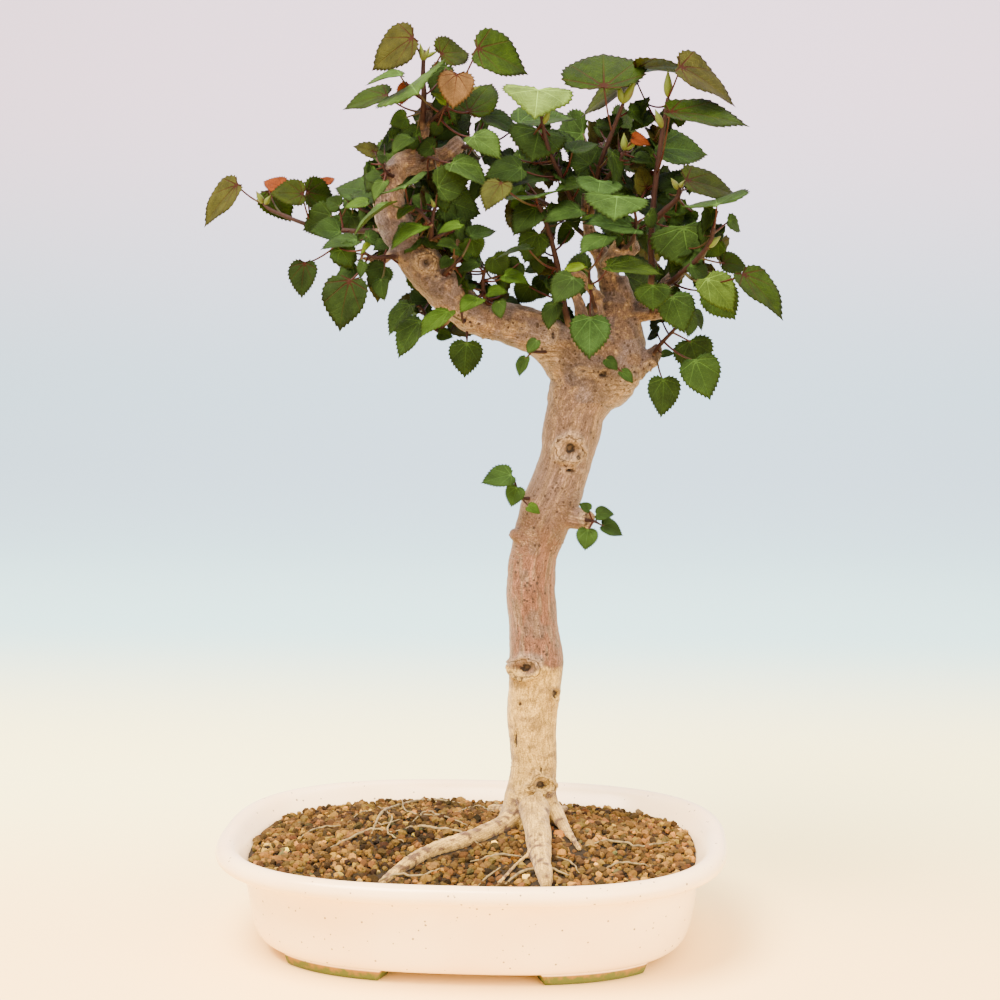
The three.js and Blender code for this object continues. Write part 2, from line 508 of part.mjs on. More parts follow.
// The leafy shoots: each has its stems, as paths on the sheet with a radius, and its leaves.
// They are placed by eye, from the left tip of the crown over the top to the right, then down the trunk.
const SHOOTS = {
  shoot_left_tip: {
    stems: [
      [1.3, [390, 232, 4], [372, 231, 9], [350, 231, 18], [313, 226, 34], [285, 216, 46], [268, 208, 54], [258, 197, 58]],
    ],
    leaves: [
      [238, 184, 60, 197, 221, 0, 25, 262, 205],
      [274, 194, 44, 250, 212, -12, 26, 284, 214],
      [304, 194, 26, 269, 191, -4, 26, 313, 224],
      [307, 193, 36, 338, 197, 8, 32, 313, 224],
      [332, 215, 28, 300, 229, 2, 32, 348, 230],
      [341, 232, 10, 313, 227, -8, 22, 350, 232],
      [357, 242, -6, 320, 242, -6, 20, 372, 232],
      [305, 262, 20, 298, 297, -4, 27, 350, 232],
    ],
  },
  shoot_left_low: {
    stems: [[1.1, [402, 256, 2], [385, 257, -14], [372, 257, -17], [361, 250, -20]]],
    leaves: [
      [350, 279, -24, 335, 329, -6, 44, 368, 257],
    ],
  },
  shoot_left_upper: {
    stems: [[1.1, [394, 214, 4], [378, 213, 14], [366, 211, 20], [352, 203, 28], [345, 198, 30]]],
    leaves: [
      [374, 192, 30, 333, 182, 8, 32, 366, 211],
      [378, 200, 18, 350, 188, 6, 20, 378, 213],
    ],
  },
  shoot_left_nub: {
    stems: [[0.9, [397, 178, 4], [386, 172, -5], [383, 164, -7]]],
    leaves: [
      [382, 176, -4, 362, 173, 4, 18, 386, 172],
      [384, 181, -10, 371, 199, -4, 12, 386, 172],
    ],
  },
  shoot_top_left: {
    stems: [[1.5, [421, 134, 7], [423, 112, -1], [424, 95, -3], [423, 75, -3], [424, 50, -3]]],
    leaves: [
      [414, 38, -2, 367, 66, 4, 42, 423, 62],
      [440, 54, -8, 478, 57, 10, 40, 425, 80],
      [447, 66, 8, 428, 97, 0, 24, 424, 95],
      [402, 75, -14, 364, 77, 0, 7, 423, 100],
      [388, 95, 4, 340, 101, 4, 22, 423, 112],
    ],
  },
  shoot_head_left: {
    stems: [[0.9, [415, 152, 8], [406, 141, 6], [402, 136, 4]]],
    leaves: [
      [404, 133, 12, 374, 146, 6, 20, 403, 138],
    ],
  },
  shoot_top_mid: {
    stems: [[1.2, [426, 127, 7], [438, 115, -5], [446, 106, -10], [447, 100, -12]]],
    leaves: [
      [411, 87, -16, 413, 93, -26, 80, 440, 112],
      [461, 76, -18, 447, 108, -6, 36, 446, 106],
      [478, 52, -8, 534, 75, 4, 44, 446, 106],
      [476, 94, 2, 492, 75, 16, 40, 446, 106],
      [472, 136, -22, 503, 152, -8, 22, 438, 116],
    ],
  },
  shoot_head: {
    stems: [[1.1, [456, 145, 5], [468, 147, 0], [478, 143, -2]]],
    leaves: [
      [484, 115, 6, 522, 128, -2, 18, 472, 145],
      [470, 121, 14, 441, 133, 4, 18, 468, 147],
      [470, 112, 28, 443, 111, 4, 12, 468, 147],
      [517, 123, 20, 575, 107, 6, 24, 476, 143],
    ],
  },
  shoot_head_front: {
    stems: [[0.9, [420, 162, 6], [428, 157, -8], [440, 161, -13]]],
    leaves: [
      [452, 162, -14, 492, 181, -6, 24, 440, 161],
    ],
  },
  shoot_mid: {
    stems: [
      [1.2, [420, 254, 3], [431, 238, -11], [432, 222, -15], [435, 206, -15]],
      [0.9, [432, 226, -15], [420, 212, -15], [408, 204, -13]],
      [0.9, [430, 240, -10], [440, 236, -15], [452, 230, -17]],
    ],
    leaves: [
      [405, 187, -32, 401, 178, 20, 50, 408, 204],
      [437, 187, -18, 472, 175, 2, 36, 435, 206],
      [423, 226, -24, 388, 241, -10, 14, 432, 222],
      [442, 200, -2, 484, 213, 6, 42, 435, 206],
      [396, 204, -26, 346, 226, -6, 6, 408, 204],
    ],
  },
  shoot_mid_right: {
    stems: [[1.0, [438, 280, 2], [450, 268, -12], [462, 257, -13]]],
    leaves: [
      [470, 236, -12, 496, 225, 4, 16, 462, 257],
    ],
  },
  shoot_branch_top: {
    stems: [[1.2, [496, 314, 8], [485, 298, -2], [483, 280, -5], [486, 266, -7]]],
    leaves: [
      [493, 256, -8, 507, 277, 2, 26, 484, 272],
      [504, 275, -16, 529, 279, -4, 14, 484, 280],
    ],
  },
  shoot_centre: {
    stems: [[1.5, [572, 340, 10], [565, 308, 0], [558, 268, -3], [550, 236, -7], [541, 210, -11], [537, 204, -13]]],
    leaves: [
      [536, 198, -18, 534, 187, 26, -60, 538, 206],
      [502, 182, -32, 483, 207, -8, 26, 538, 206],
      [537, 207, -8, 511, 232, -6, 28, 541, 212],
      [538, 233, -6, 523, 262, -2, 30, 549, 236],
      [530, 248, -20, 493, 253, -4, 6, 560, 268],
      [574, 277, -22, 552, 301, -8, 30, 562, 290],
    ],
  },
  shoot_upper_left: {
    stems: [[1.3, [587, 214, 15], [574, 203, 8], [562, 178, 1], [553, 160, -3], [546, 140, -5], [541, 114, -7]]],
    leaves: [
      [538, 92, -10, 536, 116, -26, 66, 541, 114],
      [539, 129, 2, 533, 157, -12, 56, 547, 142],
      [544, 177, 0, 506, 180, -6, 14, 562, 180],
      [571, 151, -12, 599, 138, 6, 16, 562, 178],
      [583, 183, -2, 554, 186, -4, 14, 572, 200],
      [522, 168, -4, 484, 172, -6, 26, 560, 176],
      [581, 210, -16, 543, 214, -6, 17, 578, 206],
    ],
  },
  shoot_upper_right: {
    stems: [
      [1.4, [590, 228, 16], [594, 196, 6], [600, 165, 0], [611, 135, -4], [623, 104, -8]],
      [1.0, [595, 190, 5], [607, 178, 1], [618, 163, -5], [625, 150, -8]],
    ],
    leaves: [
      [605, 87, -14, 572, 60, 14, -72, 612, 132],
      [635, 68, -4, 708, 67, 4, -15, 623, 104],
      [619, 128, 10, 591, 124, 6, 22, 620, 160],
      [590, 165, -2, 568, 146, 6, 28, 598, 180],
      [600, 180, 12, 594, 156, 8, 20, 598, 185],
      [612, 152, -12, 622, 200, -2, 14, 600, 168],
      [600, 181, -16, 598, 192, -22, 46, 596, 195],
      [655, 148, 10, 711, 146, 6, 38, 620, 160],
    ],
  },
  shoot_right_top: {
    stems: [
      [1.6, [646, 305, 13], [652, 275, 4], [651, 250, 1], [653, 210, -2], [657, 170, -6], [663, 130, -10], [668, 98, -12]],
      [1.5, [653, 222, -1], [664, 211, -6], [678, 197, -12], [679, 187, -14]],
    ],
    leaves: [
      [681, 71, -22, 748, 108, 6, 44, 670, 98],
      [684, 119, -32, 751, 112, -4, 28, 657, 175],
      [638, 80, 14, 573, 107, 10, 22, 662, 128],
      [687, 186, -14, 744, 190, 4, 34, 679, 190],
      [682, 188, 2, 657, 170, 8, 28, 676, 198],
      [683, 226, -8, 690, 269, -6, 68, 654, 222],
      [657, 216, 10, 640, 193, 8, 24, 653, 218],
    ],
  },
  shoot_right: {
    stems: [[1.4, [664, 287, 11], [672, 281, 0], [683, 272, -12], [700, 256, -22], [711, 240, -28], [714, 226, -30]]],
    leaves: [
      [714, 206, -34, 688, 217, -16, 54, 713, 228],
      [742, 275, -52, 790, 311, -8, 30, 684, 272],
      [706, 278, -38, 737, 308, -8, 34, 684, 272],
      [712, 287, -26, 736, 319, -4, 38, 672, 283],
    ],
  },
  shoot_right_front: {
    stems: [[1.1, [650, 316, 7], [656, 300, -8], [664, 290, -14]]],
    leaves: [
      [672, 296, -16, 686, 331, -6, 36, 664, 289],
    ],
  },
  shoot_right_low: {
    stems: [[1.1, [652, 358, 7], [660, 345, -3], [672, 332, -7], [680, 323, -9]]],
    leaves: [
      [690, 340, -2, 701, 373, 0, 40, 672, 332],
      [695, 359, -16, 712, 398, -6, 40, 664, 342],
      [663, 378, -8, 665, 417, -4, 32, 658, 352],
    ],
  },
  shoot_fork: {
    stems: [[1.0, [597, 314, 7], [592, 298, -7], [590, 284, -11], [589, 270, -13]]],
    leaves: [
      [607, 266, -24, 663, 265, -6, 18, 590, 284],
      [590, 317, -16, 590, 358, -6, 40, 590, 288],
      [608, 236, -26, 579, 247, -10, 15, 589, 270],
    ],
  },
  shoot_front_mid: {
    stems: [[1.0, [620, 252, 6], [632, 241, -12], [636, 222, -22], [634, 208, -28]]],
    leaves: [
      [632, 203, -42, 622, 224, -16, 74, 634, 208],
      [638, 229, -18, 585, 213, -6, 18, 636, 222],
    ],
  },
  shoot_low_left: {
    stems: [[1.0, [452, 316, 10], [440, 328, 18], [430, 326, 22], [424, 312, 24], [419, 305, 24]]],
    leaves: [
      [411, 304, 25, 384, 331, -4, 19, 420, 306],
      [421, 320, 10, 393, 353, -6, 24, 427, 316],
      [430, 302, 32, 409, 287, 6, 26, 424, 310],
    ],
  },
  sprout_branch_front: {
    stems: [[0.8, [466, 318, 4], [463, 322, -14], [461, 308, -18]]],
    leaves: [[449, 311, -20, 417, 331, -8, 17, 463, 321]],
  },
  sprout_branch_low: {
    stems: [[0.8, [468, 318, 6], [467, 331, 3], [467, 340, 0]]],
    leaves: [[467, 342, -1, 463, 377, -4, 33, 467, 339]],
  },
  sprout_trunk_left: {
    stems: [[0.9, [536, 498, 10], [521, 497, -2], [514, 480, -4]]],
    leaves: [
      [512, 475, -4, 481, 479, -4, 22, 514, 480],
      [517, 487, -6, 511, 506, -4, 20, 519, 494],
    ],
  },
  sprout_trunk_right: {
    stems: [[0.9, [582, 520, 1], [593, 521, -7], [598, 523, -9]]],
    leaves: [
      [596, 514, -7, 614, 512, -2, 14, 596, 521],
      [602, 525, -6, 625, 532, 0, 17, 598, 522],
      [588, 529, -14, 585, 550, -4, 22, 593, 521],
    ],
  },
  sprout_fork_left: {
    stems: [[0.8, [550, 352, 6], [536, 352, -13], [531, 352, -15]]],
    leaves: [
      [537, 340, -15, 526, 352, -2, 12, 533, 351],
      [526, 357, -13, 516, 375, -2, 12, 531, 352],
    ],
  },
  sprout_fork_right: {
    stems: [[0.8, [612, 368, 8], [612, 367, -12], [616, 366, -15]]],
    leaves: [
      [606, 359, -16, 619, 369, -2, 12, 614, 367],
      [621, 371, -15, 635, 381, -2, 11, 616, 367],
    ],
  },
};

// Shoots on the far side of the crown, each a stem from the wood to its end with leaves set spirally
const BACK_SHOOTS = {
  shoot_back_left: { from: [396, 195, 8], to: [420, 184, 60], leaves: 4 },
  shoot_back_low: { from: [424, 262, 6], to: [424, 250, 54], leaves: 4 },
  shoot_back_middle: { from: [594, 244, 17], to: [506, 184, 52], leaves: 4 },
  shoot_back_top: { from: [586, 198, 15], to: [604, 140, 66], leaves: 4 },
  shoot_back_right: { from: [612, 262, 20], to: [650, 234, 62], leaves: 4 },
  shoot_back_fork: { from: [617, 310, 18], to: [594, 300, 64], leaves: 4 },
};
const GOLDEN_TURN = THREE.MathUtils.degToRad(137.5);

function backShoot({ from, to, leaves }) {
  const at = (t) => from.map((v, i) => THREE.MathUtils.lerp(v, to[i], t));
  const middle = at(0.5);
  middle[1] -= 8;
  const made = { stems: [[1.2, from, middle, to]], leaves: [] };
  for (let i = 0; i < leaves; i++) {
    const t = 0.45 + (0.55 * i) / (leaves - 1);
    const [right, down, depth] = at(t);
    const turn = i * GOLDEN_TURN;
    const [c, s] = [Math.cos(turn), Math.sin(turn)];
    const joint = [right + 18 * c, down - 12 - 10 * s + 9 * (i - 2), depth + 6 * Math.max(0, s)];
    const tip = [joint[0] + 44 * c, joint[1] + 16 - 30 * s];
    made.leaves.push([...joint, ...tip, 14, 44, right, down]);
  }
  return made;
}

function shootSolid({ stems, leaves }, clearWood) {
  const paths = stems.map((stem) => stem.slice(1));
  const parts = stems.map(([radius, ...path]) => {
    return solidOf(limb(path.map(seen), [radius * 1.2, radius], 4, path.length));
  });
  for (const leaf of leaves) parts.push(leafSolid(leaf, paths));
  return mainBody(joined(parts).subtract(clearWood));
}

const POT_COLOUR = 0xf0e2d4;
const SOIL_COLOUR = 0x9a7445;
const WOOD_COLOUR = 0xb08d6a;
const LEAF_COLOUR = 0x4d6b22;
const NET_COLOUR = 0x2b2b2b;

const bonsai = new THREE.Group();
const tree = woodSolid(0);
const clearWood = woodSolid(CLEARANCE);
bonsai.add(meshOf("pot", potSolid(), POT_COLOUR, 0.25));
bonsai.add(meshOf("drain_net_left", drainNet(-1), NET_COLOUR, 0.6));
bonsai.add(meshOf("drain_net_right", drainNet(1), NET_COLOUR, 0.6));
bonsai.add(meshOf("soil", soilSolid(clearWood), SOIL_COLOUR, 0.95));
bonsai.add(meshOf("trunk", tree, WOOD_COLOUR, 0.85));
const shoots = Object.entries(SHOOTS);
for (const [name, shoot] of Object.entries(BACK_SHOOTS)) shoots.push([name, backShoot(shoot)]);
for (const [name, shoot] of shoots) {
  bonsai.add(meshOf(name, shootSolid(shoot, clearWood), LEAF_COLOUR, 0.55));
}

export default bonsai;
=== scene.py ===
# A sea hibiscus bonsai in its glazed oval pot, in metres.
# The ground is z = 0, X runs along the pot, and the viewer stands on the side of negative Y.
import bpy
import numpy as np
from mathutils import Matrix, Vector


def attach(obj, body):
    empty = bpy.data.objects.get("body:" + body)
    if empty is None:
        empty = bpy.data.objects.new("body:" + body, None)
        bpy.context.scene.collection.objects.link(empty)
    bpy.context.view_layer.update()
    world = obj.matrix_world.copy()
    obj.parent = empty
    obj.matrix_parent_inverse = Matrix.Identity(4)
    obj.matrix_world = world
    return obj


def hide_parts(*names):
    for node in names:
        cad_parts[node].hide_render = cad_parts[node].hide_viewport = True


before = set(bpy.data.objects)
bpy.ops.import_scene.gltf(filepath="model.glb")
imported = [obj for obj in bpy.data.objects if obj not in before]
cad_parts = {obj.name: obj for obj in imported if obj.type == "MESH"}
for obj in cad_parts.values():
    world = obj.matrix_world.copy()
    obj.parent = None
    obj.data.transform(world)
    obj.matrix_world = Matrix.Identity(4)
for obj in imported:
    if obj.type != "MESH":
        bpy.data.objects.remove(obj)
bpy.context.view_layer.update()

# The pot
# An oval tray of slip-cast stoneware with a rolled lip and four low curved feet.
# It is dipped upside down in a cream glaze with fine iron specks, and the feet stay bare clay.
# Measures are in millimetres from here on, and MM turns them into the frame's metres
MM = 0.001
POT_LENGTH = 252
POT_WIDTH = 189
POT_SQUARENESS = 2.75
POT_SIDES = 192
TURN_FINENESS = 20000
# Where the feet's middles lie round the oval, in half turns, and how far each reaches both ways, in radians
FOOT_TURNS = (0.31, 0.69, 1.31, 1.69)
FOOT_REACH = 0.34
FOOT_HEIGHT = 6.6
FOOT_STEPS = 26
FOOT_SLANT = 0.07
FOOT_END = 0.9
SECTION_FINENESS = 3
SECTION_SOFTENINGS = 3
# [inset from the outermost edge, height], from the underside up over the lip and down to the floor
POT_SECTION = [
    (60, 5), (34, 5), (28, 5), (24.5, 5.3), (21.6, 6.6), (19.4, 9), (17.9, 12.8), (16.6, 18.5), (15.6, 25),
    (14.9, 32), (14, 38), (12.6, 41.8), (10.4, 43.6), (7, 44.6), (3.2, 45.3), (1, 46.8), (0, 49.2),
    (0.4, 51.6), (1.8, 53.6), (4, 54.6), (6.4, 54.4), (8.8, 53.2), (11, 50.8), (13.4, 47.6), (16.4, 43.4),
    (19.2, 34), (21.6, 24), (24.4, 17), (28.6, 11.6), (35, 10), (60, 10),
]


def hex_colour(code, alpha=1.0):
    """A linear colour from an sRGB hex code: each channel c becomes ((c + 0.055) / 1.055) ** 2.4."""
    channel = np.array([int(code[i:i + 2], 16) for i in (1, 3, 5)]) / 255
    linear = np.where(channel <= 0.04045, channel / 12.92, ((channel + 0.055) / 1.055) ** 2.4)
    return (*linear, alpha)


def add_node(tree, kind, sockets=None, **settings):
    """Adds one shader node. Settings go on the node itself; sockets takes numbers or outputs to link. By
    number, a MapRange takes its old range as 1 and 2 and its new one as 3 and 4, and a Mix takes its share as
    0 and what it mixes as 6 and 7, or as 2 and 3 when it mixes plain numbers."""
    made = tree.nodes.new("ShaderNode" + kind)
    for name, value in settings.items():
        setattr(made, name, value)
    for key, value in (sockets or {}).items():
        if isinstance(value, bpy.types.NodeSocket):
            tree.links.new(value, made.inputs[key])
        else:
            made.inputs[key].default_value = value
    return made


def new_material(name):
    """An empty finish: the material, its node tree and its Principled shader."""
    made = bpy.data.materials.new(name)
    made.use_nodes = True
    return made, made.node_tree, made.node_tree.nodes["Principled BSDF"]


def smooth_mesh(name, points, faces):
    """A smooth-shaded mesh from points in metres and lists of faces of one size each."""
    mesh = bpy.data.meshes.new(name)
    sizes = np.concatenate([np.full(len(f), f.shape[1]) for f in faces])
    corners = np.concatenate([f.ravel() for f in faces])
    mesh.vertices.add(len(points))
    mesh.vertices.foreach_set("co", np.asarray(points, np.float32).ravel())
    mesh.loops.add(len(corners))
    mesh.loops.foreach_set("vertex_index", corners.astype(np.int32))
    mesh.polygons.add(len(sizes))
    mesh.polygons.foreach_set("loop_start", (np.cumsum(sizes) - sizes).astype(np.int32))
    mesh.polygons.foreach_set("use_smooth", np.ones(len(sizes), bool))
    mesh.update(calc_edges=True)
    return mesh


def add_piece(name, mesh, materials):
    """A piece that shows a mesh in the given finishes and rides on the root."""
    for each in materials:
        mesh.materials.append(each)
    made = bpy.data.objects.new(name, mesh)
    bpy.context.scene.collection.objects.link(made)
    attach(made, "root")
    return made


def grid_faces(rows, columns, start=0):
    """Four-sided faces of a grid whose rows close on themselves: point (i, j) is number i * columns + j."""
    i, j = np.meshgrid(np.arange(rows - 1), np.arange(columns), indexing="ij")
    a = i * columns + j
    b = i * columns + (j + 1) % columns
    return start + np.stack([a, b, b + columns, a + columns], axis=-1).reshape(-1, 4)


def cap_faces(first, count, apex, flip):
    """Triangles from a closed row of points to one apex point."""
    a = first + np.arange(count)
    b = first + (np.arange(count) + 1) % count
    return np.stack([b, a, np.full(count, apex)] if flip else [a, b, np.full(count, apex)], axis=-1)


def capped_bars(bars, start=0):
    """Points and faces of bars given as rings, one after another, each closed by a shallow pointed cap at the
    middle of its first ring and of its last. Point numbers begin at start."""
    points, faces = [], []
    for rings in bars:
        count, sides = rings.shape[:2]
        last = start + count * sides
        points += [rings.reshape(-1, 3), rings[[0, -1]].mean(axis=1)]
        faces += [
            grid_faces(count, sides, start),
            cap_faces(start, sides, last, True),
            cap_faces(last - sides, sides, last + 1, False),
        ]
        start = last + 2
    return np.concatenate(points), faces


def length_along(path):
    """Length of a path up to each of its points: the sum of the distances before it."""
    return np.concatenate([[0], np.cumsum(np.linalg.norm(np.diff(path, axis=0), axis=1))])


def oval(turn, inset):
    """The pot's plan: x and y are half the length and width, less the inset, times cos and sin of turn,
    each raised to 2 / squareness with its sign kept."""
    c, s = np.cos(turn), np.sin(turn)
    power = 2 / POT_SQUARENESS
    x = (POT_LENGTH / 2 - inset) * np.sign(c) * np.abs(c) ** power
    y = (POT_WIDTH / 2 - inset) * np.sign(s) * np.abs(s) ** power
    return x, y


def even_turns(count):
    """Turns round the oval that cut its outline into steps of equal length."""
    fine_turns = np.linspace(0, 2 * np.pi, TURN_FINENESS + 1)
    run = length_along(np.column_stack(oval(fine_turns, 0)))
    return np.interp(np.arange(count) / count * run[-1], run, fine_turns)


section = np.array(POT_SECTION, float)
steps = np.linspace(0, len(section) - 1, SECTION_FINENESS * len(section))
fine_section = np.stack([np.interp(steps, np.arange(len(section)), section[:, k]) for k in (0, 1)], axis=1)
for _ in range(SECTION_SOFTENINGS):
    fine_section[1:-1] = (fine_section[:-2] + 2 * fine_section[1:-1] + fine_section[2:]) / 4
ring_x, ring_y = oval(even_turns(POT_SIDES)[None, :], fine_section[:, :1])
pot_bars = [np.stack([ring_x, ring_y, np.broadcast_to(fine_section[:, 1:], ring_x.shape)], axis=-1)]
# Each foot is a curved bar under the wall, rounded at its lower edges and slanting in at its ends:
# [inset, height] round its section
FOOT_SECTION = [
    (23.6, 6.6), (24, 4.6), (24.4, 2.2), (24.9, 0.7), (25.8, 0), (30, 0), (34.4, 0), (35.3, 0.8), (36, 2.4),
    (36.6, 4.6), (37, 6.4),
]
foot_section = np.array(FOOT_SECTION, float)
for middle in np.array(FOOT_TURNS) * np.pi:
    way = np.linspace(-1, 1, FOOT_STEPS)[:, None]
    slant = FOOT_SLANT * (1 - foot_section[None, :, 1] / FOOT_HEIGHT) * -np.sign(way)
    foot_turns = middle + FOOT_REACH * (way + slant * (np.abs(way) > FOOT_END))
    foot_x, foot_y = oval(foot_turns, foot_section[None, :, 0])
    pot_bars.append(np.stack([foot_x, foot_y, np.broadcast_to(foot_section[:, 1], foot_x.shape)], axis=-1))
pot_points, pot_faces = capped_bars(pot_bars)

# Cream stoneware glaze: a clear, glossy coat over a warm white body, so the edges glint softly.
# The bare clay of the feet is dull and tan, with green algae along its wet lower edge.
GLAZE = "#FAE4BC"
GLAZE_SHADE = "#F0CF9C"
IRON_SPECK = "#1E1A17"
BARE_CLAY = "#896521"
ALGAE = "#465B1C"
# Sizes of the patterns in the finish, in mm
CLOUD_SIZE = 45.5
SPECK_SPACING = 3.0
STAIN_SIZE = 3.85
GLAZE_WAVE_SIZE = 11.1
# Heights over the ground between which the glaze ends, and to which the algae reach
GLAZE_EDGE = (4.6, 5.3)
ALGAE_TOP = (2.0, 6.4)
# Distances over and under their top between which the algae thicken
ALGAE_FADE = (-0.8, 1.6)
GLAZE_ROUGHNESS = 0.24
CLAY_ROUGHNESS = 0.9
GLAZE_INDEX = 1.52
glazed_stoneware, tree, shader = new_material("cream_glazed_stoneware")
place = add_node(tree, "TexCoord").outputs["Object"]
height = add_node(tree, "SeparateXYZ", {0: place}).outputs["Z"]
cloud = add_node(tree, "TexNoise", {"Vector": place, "Scale": 1000 / CLOUD_SIZE,
                                    "Detail": 3.0}).outputs["Fac"]
cloud_share = add_node(tree, "MapRange", {"Value": cloud, 1: 0.35, 2: 0.7, 3: 0.0, 4: 0.55}).outputs[0]
body_colour = add_node(tree, "Mix", {0: cloud_share, 6: hex_colour(GLAZE), 7: hex_colour(GLAZE_SHADE)},
                       data_type="RGBA").outputs[2]
speck_cell = add_node(tree, "TexVoronoi", {"Vector": place, "Scale": 1000 / SPECK_SPACING})
speck_pick = add_node(tree, "SeparateColor", {0: speck_cell.outputs["Color"]}).outputs["Red"]
speck_size = add_node(tree, "MapRange", {"Value": speck_pick, 1: 0.55, 2: 1.0, 3: 0.0, 4: 0.22}).outputs[0]
speck_edge = add_node(tree, "Math", {0: speck_size, 1: speck_cell.outputs["Distance"]},
                      operation="SUBTRACT").outputs[0]
speck = add_node(tree, "MapRange", {"Value": speck_edge, 1: 0.0, 2: 0.04, 3: 0.0, 4: 0.8}).outputs[0]
specked = add_node(tree, "Mix", {0: speck, 6: body_colour, 7: hex_colour(IRON_SPECK)},
                   data_type="RGBA").outputs[2]
stain = add_node(tree, "TexNoise", {"Vector": place, "Scale": 1000 / STAIN_SIZE,
                                    "Detail": 4.0}).outputs["Fac"]
low_top, high_top = np.array(ALGAE_TOP) * MM
algae_top = add_node(tree, "MapRange", {"Value": stain, 1: 0.3, 2: 0.7, 3: low_top, 4: high_top}).outputs[0]
algae_depth = add_node(tree, "Math", {0: algae_top, 1: height}, operation="SUBTRACT").outputs[0]
fade_out, fade_in = np.array(ALGAE_FADE) * MM
algae_share = add_node(tree, "MapRange", {"Value": algae_depth, 1: fade_out, 2: fade_in,
                                          3: 0.0, 4: 0.9}).outputs[0]
clay = add_node(tree, "Mix", {0: algae_share, 6: hex_colour(BARE_CLAY), 7: hex_colour(ALGAE)},
                data_type="RGBA").outputs[2]
bare_below, glazed_above = np.array(GLAZE_EDGE) * MM
bare_share = add_node(tree, "MapRange", {"Value": height, 1: bare_below, 2: glazed_above,
                                         3: 1.0, 4: 0.0}).outputs[0]
colour = add_node(tree, "Mix", {0: bare_share, 6: specked, 7: clay}, data_type="RGBA").outputs[2]
tree.links.new(colour, shader.inputs["Base Color"])
rough = add_node(tree, "MapRange", {"Value": bare_share, 3: GLAZE_ROUGHNESS, 4: CLAY_ROUGHNESS}).outputs[0]
tree.links.new(rough, shader.inputs["Roughness"])
glaze_wave = add_node(tree, "TexNoise", {"Vector": place, "Scale": 1000 / GLAZE_WAVE_SIZE,
                                         "Detail": 2.0}).outputs["Fac"]
wavy = add_node(tree, "Bump", {"Height": glaze_wave, "Strength": 0.12, "Distance": 0.0006})
tree.links.new(wavy.outputs[0], shader.inputs["Normal"])
shader.inputs["IOR"].default_value = GLAZE_INDEX

pot_mesh = smooth_mesh("oval_pot", pot_points * MM, pot_faces)
pot = add_piece("oval_pot", pot_mesh, [glazed_stoneware])
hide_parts("pot")

# The drain nets
# Two squares of black plastic netting, cut from a sheet and laid over the holes in the pot's floor.
# They keep the soil in, and only their undersides can be seen, through the holes.
NETTING_BLACK = "#1B1E22"
NETTING_DUST = "#3A3935"
SCUFF_SIZE = 1.43
black_netting, tree, shader = new_material("moulded_black_polyethylene")
place = add_node(tree, "TexCoord").outputs["Object"]
scuff = add_node(tree, "TexNoise", {"Vector": place, "Scale": 1000 / SCUFF_SIZE,
                                    "Detail": 3.0}).outputs["Fac"]
dusty = add_node(tree, "Mix", {0: scuff, 6: hex_colour(NETTING_BLACK), 7: hex_colour(NETTING_DUST)},
                 data_type="RGBA").outputs[2]
tree.links.new(dusty, shader.inputs["Base Color"])
shader.inputs["Roughness"].default_value = 0.6
for side in ("left", "right"):
    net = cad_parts["drain_net_" + side]
    net.data.materials.clear()
    net.data.materials.append(black_netting)

# The wood
# One living piece: a bare trunk, thick surface roots, a heavy branch to the left and pruned stubs.
# It grew, was cut back hard many times and healed over its cuts, so its bark is smooth, lumpy and scarred.

# The plant is laid out as it is seen from the front, on a sheet held one metre from the eye and ruled in half
# millimetres, counted right and down from its top left corner. Depth is in millimetres behind the pot's
# middle.
EYE = np.array([85.8, -963.3, 347.0])
EYE_DISTANCE = 967
EYE_TURN = np.radians(4.3)
EYE_PITCH = np.radians(7.5)
SHEET_DISTANCE = 1000
SHEET_RULE = 0.5
SHEET_MIDDLE = 500
AHEAD = np.array([-np.sin(EYE_TURN), np.cos(EYE_TURN), 0.0])
RIGHT = np.array([np.cos(EYE_TURN), np.sin(EYE_TURN), 0.0])
# The wood's limbs: [right, down, depth, half width on the sheet]
TRUNK = [
    (530, 872, 12, 8), (530, 845, 12, 22), (531, 822, 12, 35), (531, 804, 12, 29), (532, 785, 12, 25),
    (534, 760, 12, 23.5), (532, 726, 12, 25.5), (534, 690, 12, 26.3), (536, 661, 12, 28.2),
    (533, 622, 12, 24.5), (531, 589, 12, 25.2), (534, 554, 12, 23.7), (540, 533, 12, 26.5),
    (546, 514, 12, 27), (554, 495, 12, 27.3), (561, 476, 12, 27), (566, 456, 12, 27), (571, 434, 12, 29),
    (575, 412, 12, 29.5), (583, 392, 13, 35), (597, 372, 14, 43), (611, 348, 15, 38), (617, 322, 16, 26),
    (617, 298, 17, 17), (616, 276, 18, 11),
]
LEFT_BRANCH = [
    (592, 384, 13, 30), (566, 352, 12, 30), (537, 333, 10, 22), (508, 323, 8, 20.5), (480, 318, 6, 18),
    (460, 305, 4, 20), (440, 284, 3, 20.5), (421, 262, 3, 21), (402, 236, 4, 20), (390, 212, 5, 17),
    (390, 190, 6, 14), (398, 168, 7, 13), (420, 161, 7, 12), (444, 156, 6, 9), (462, 140, 4, 8),
]
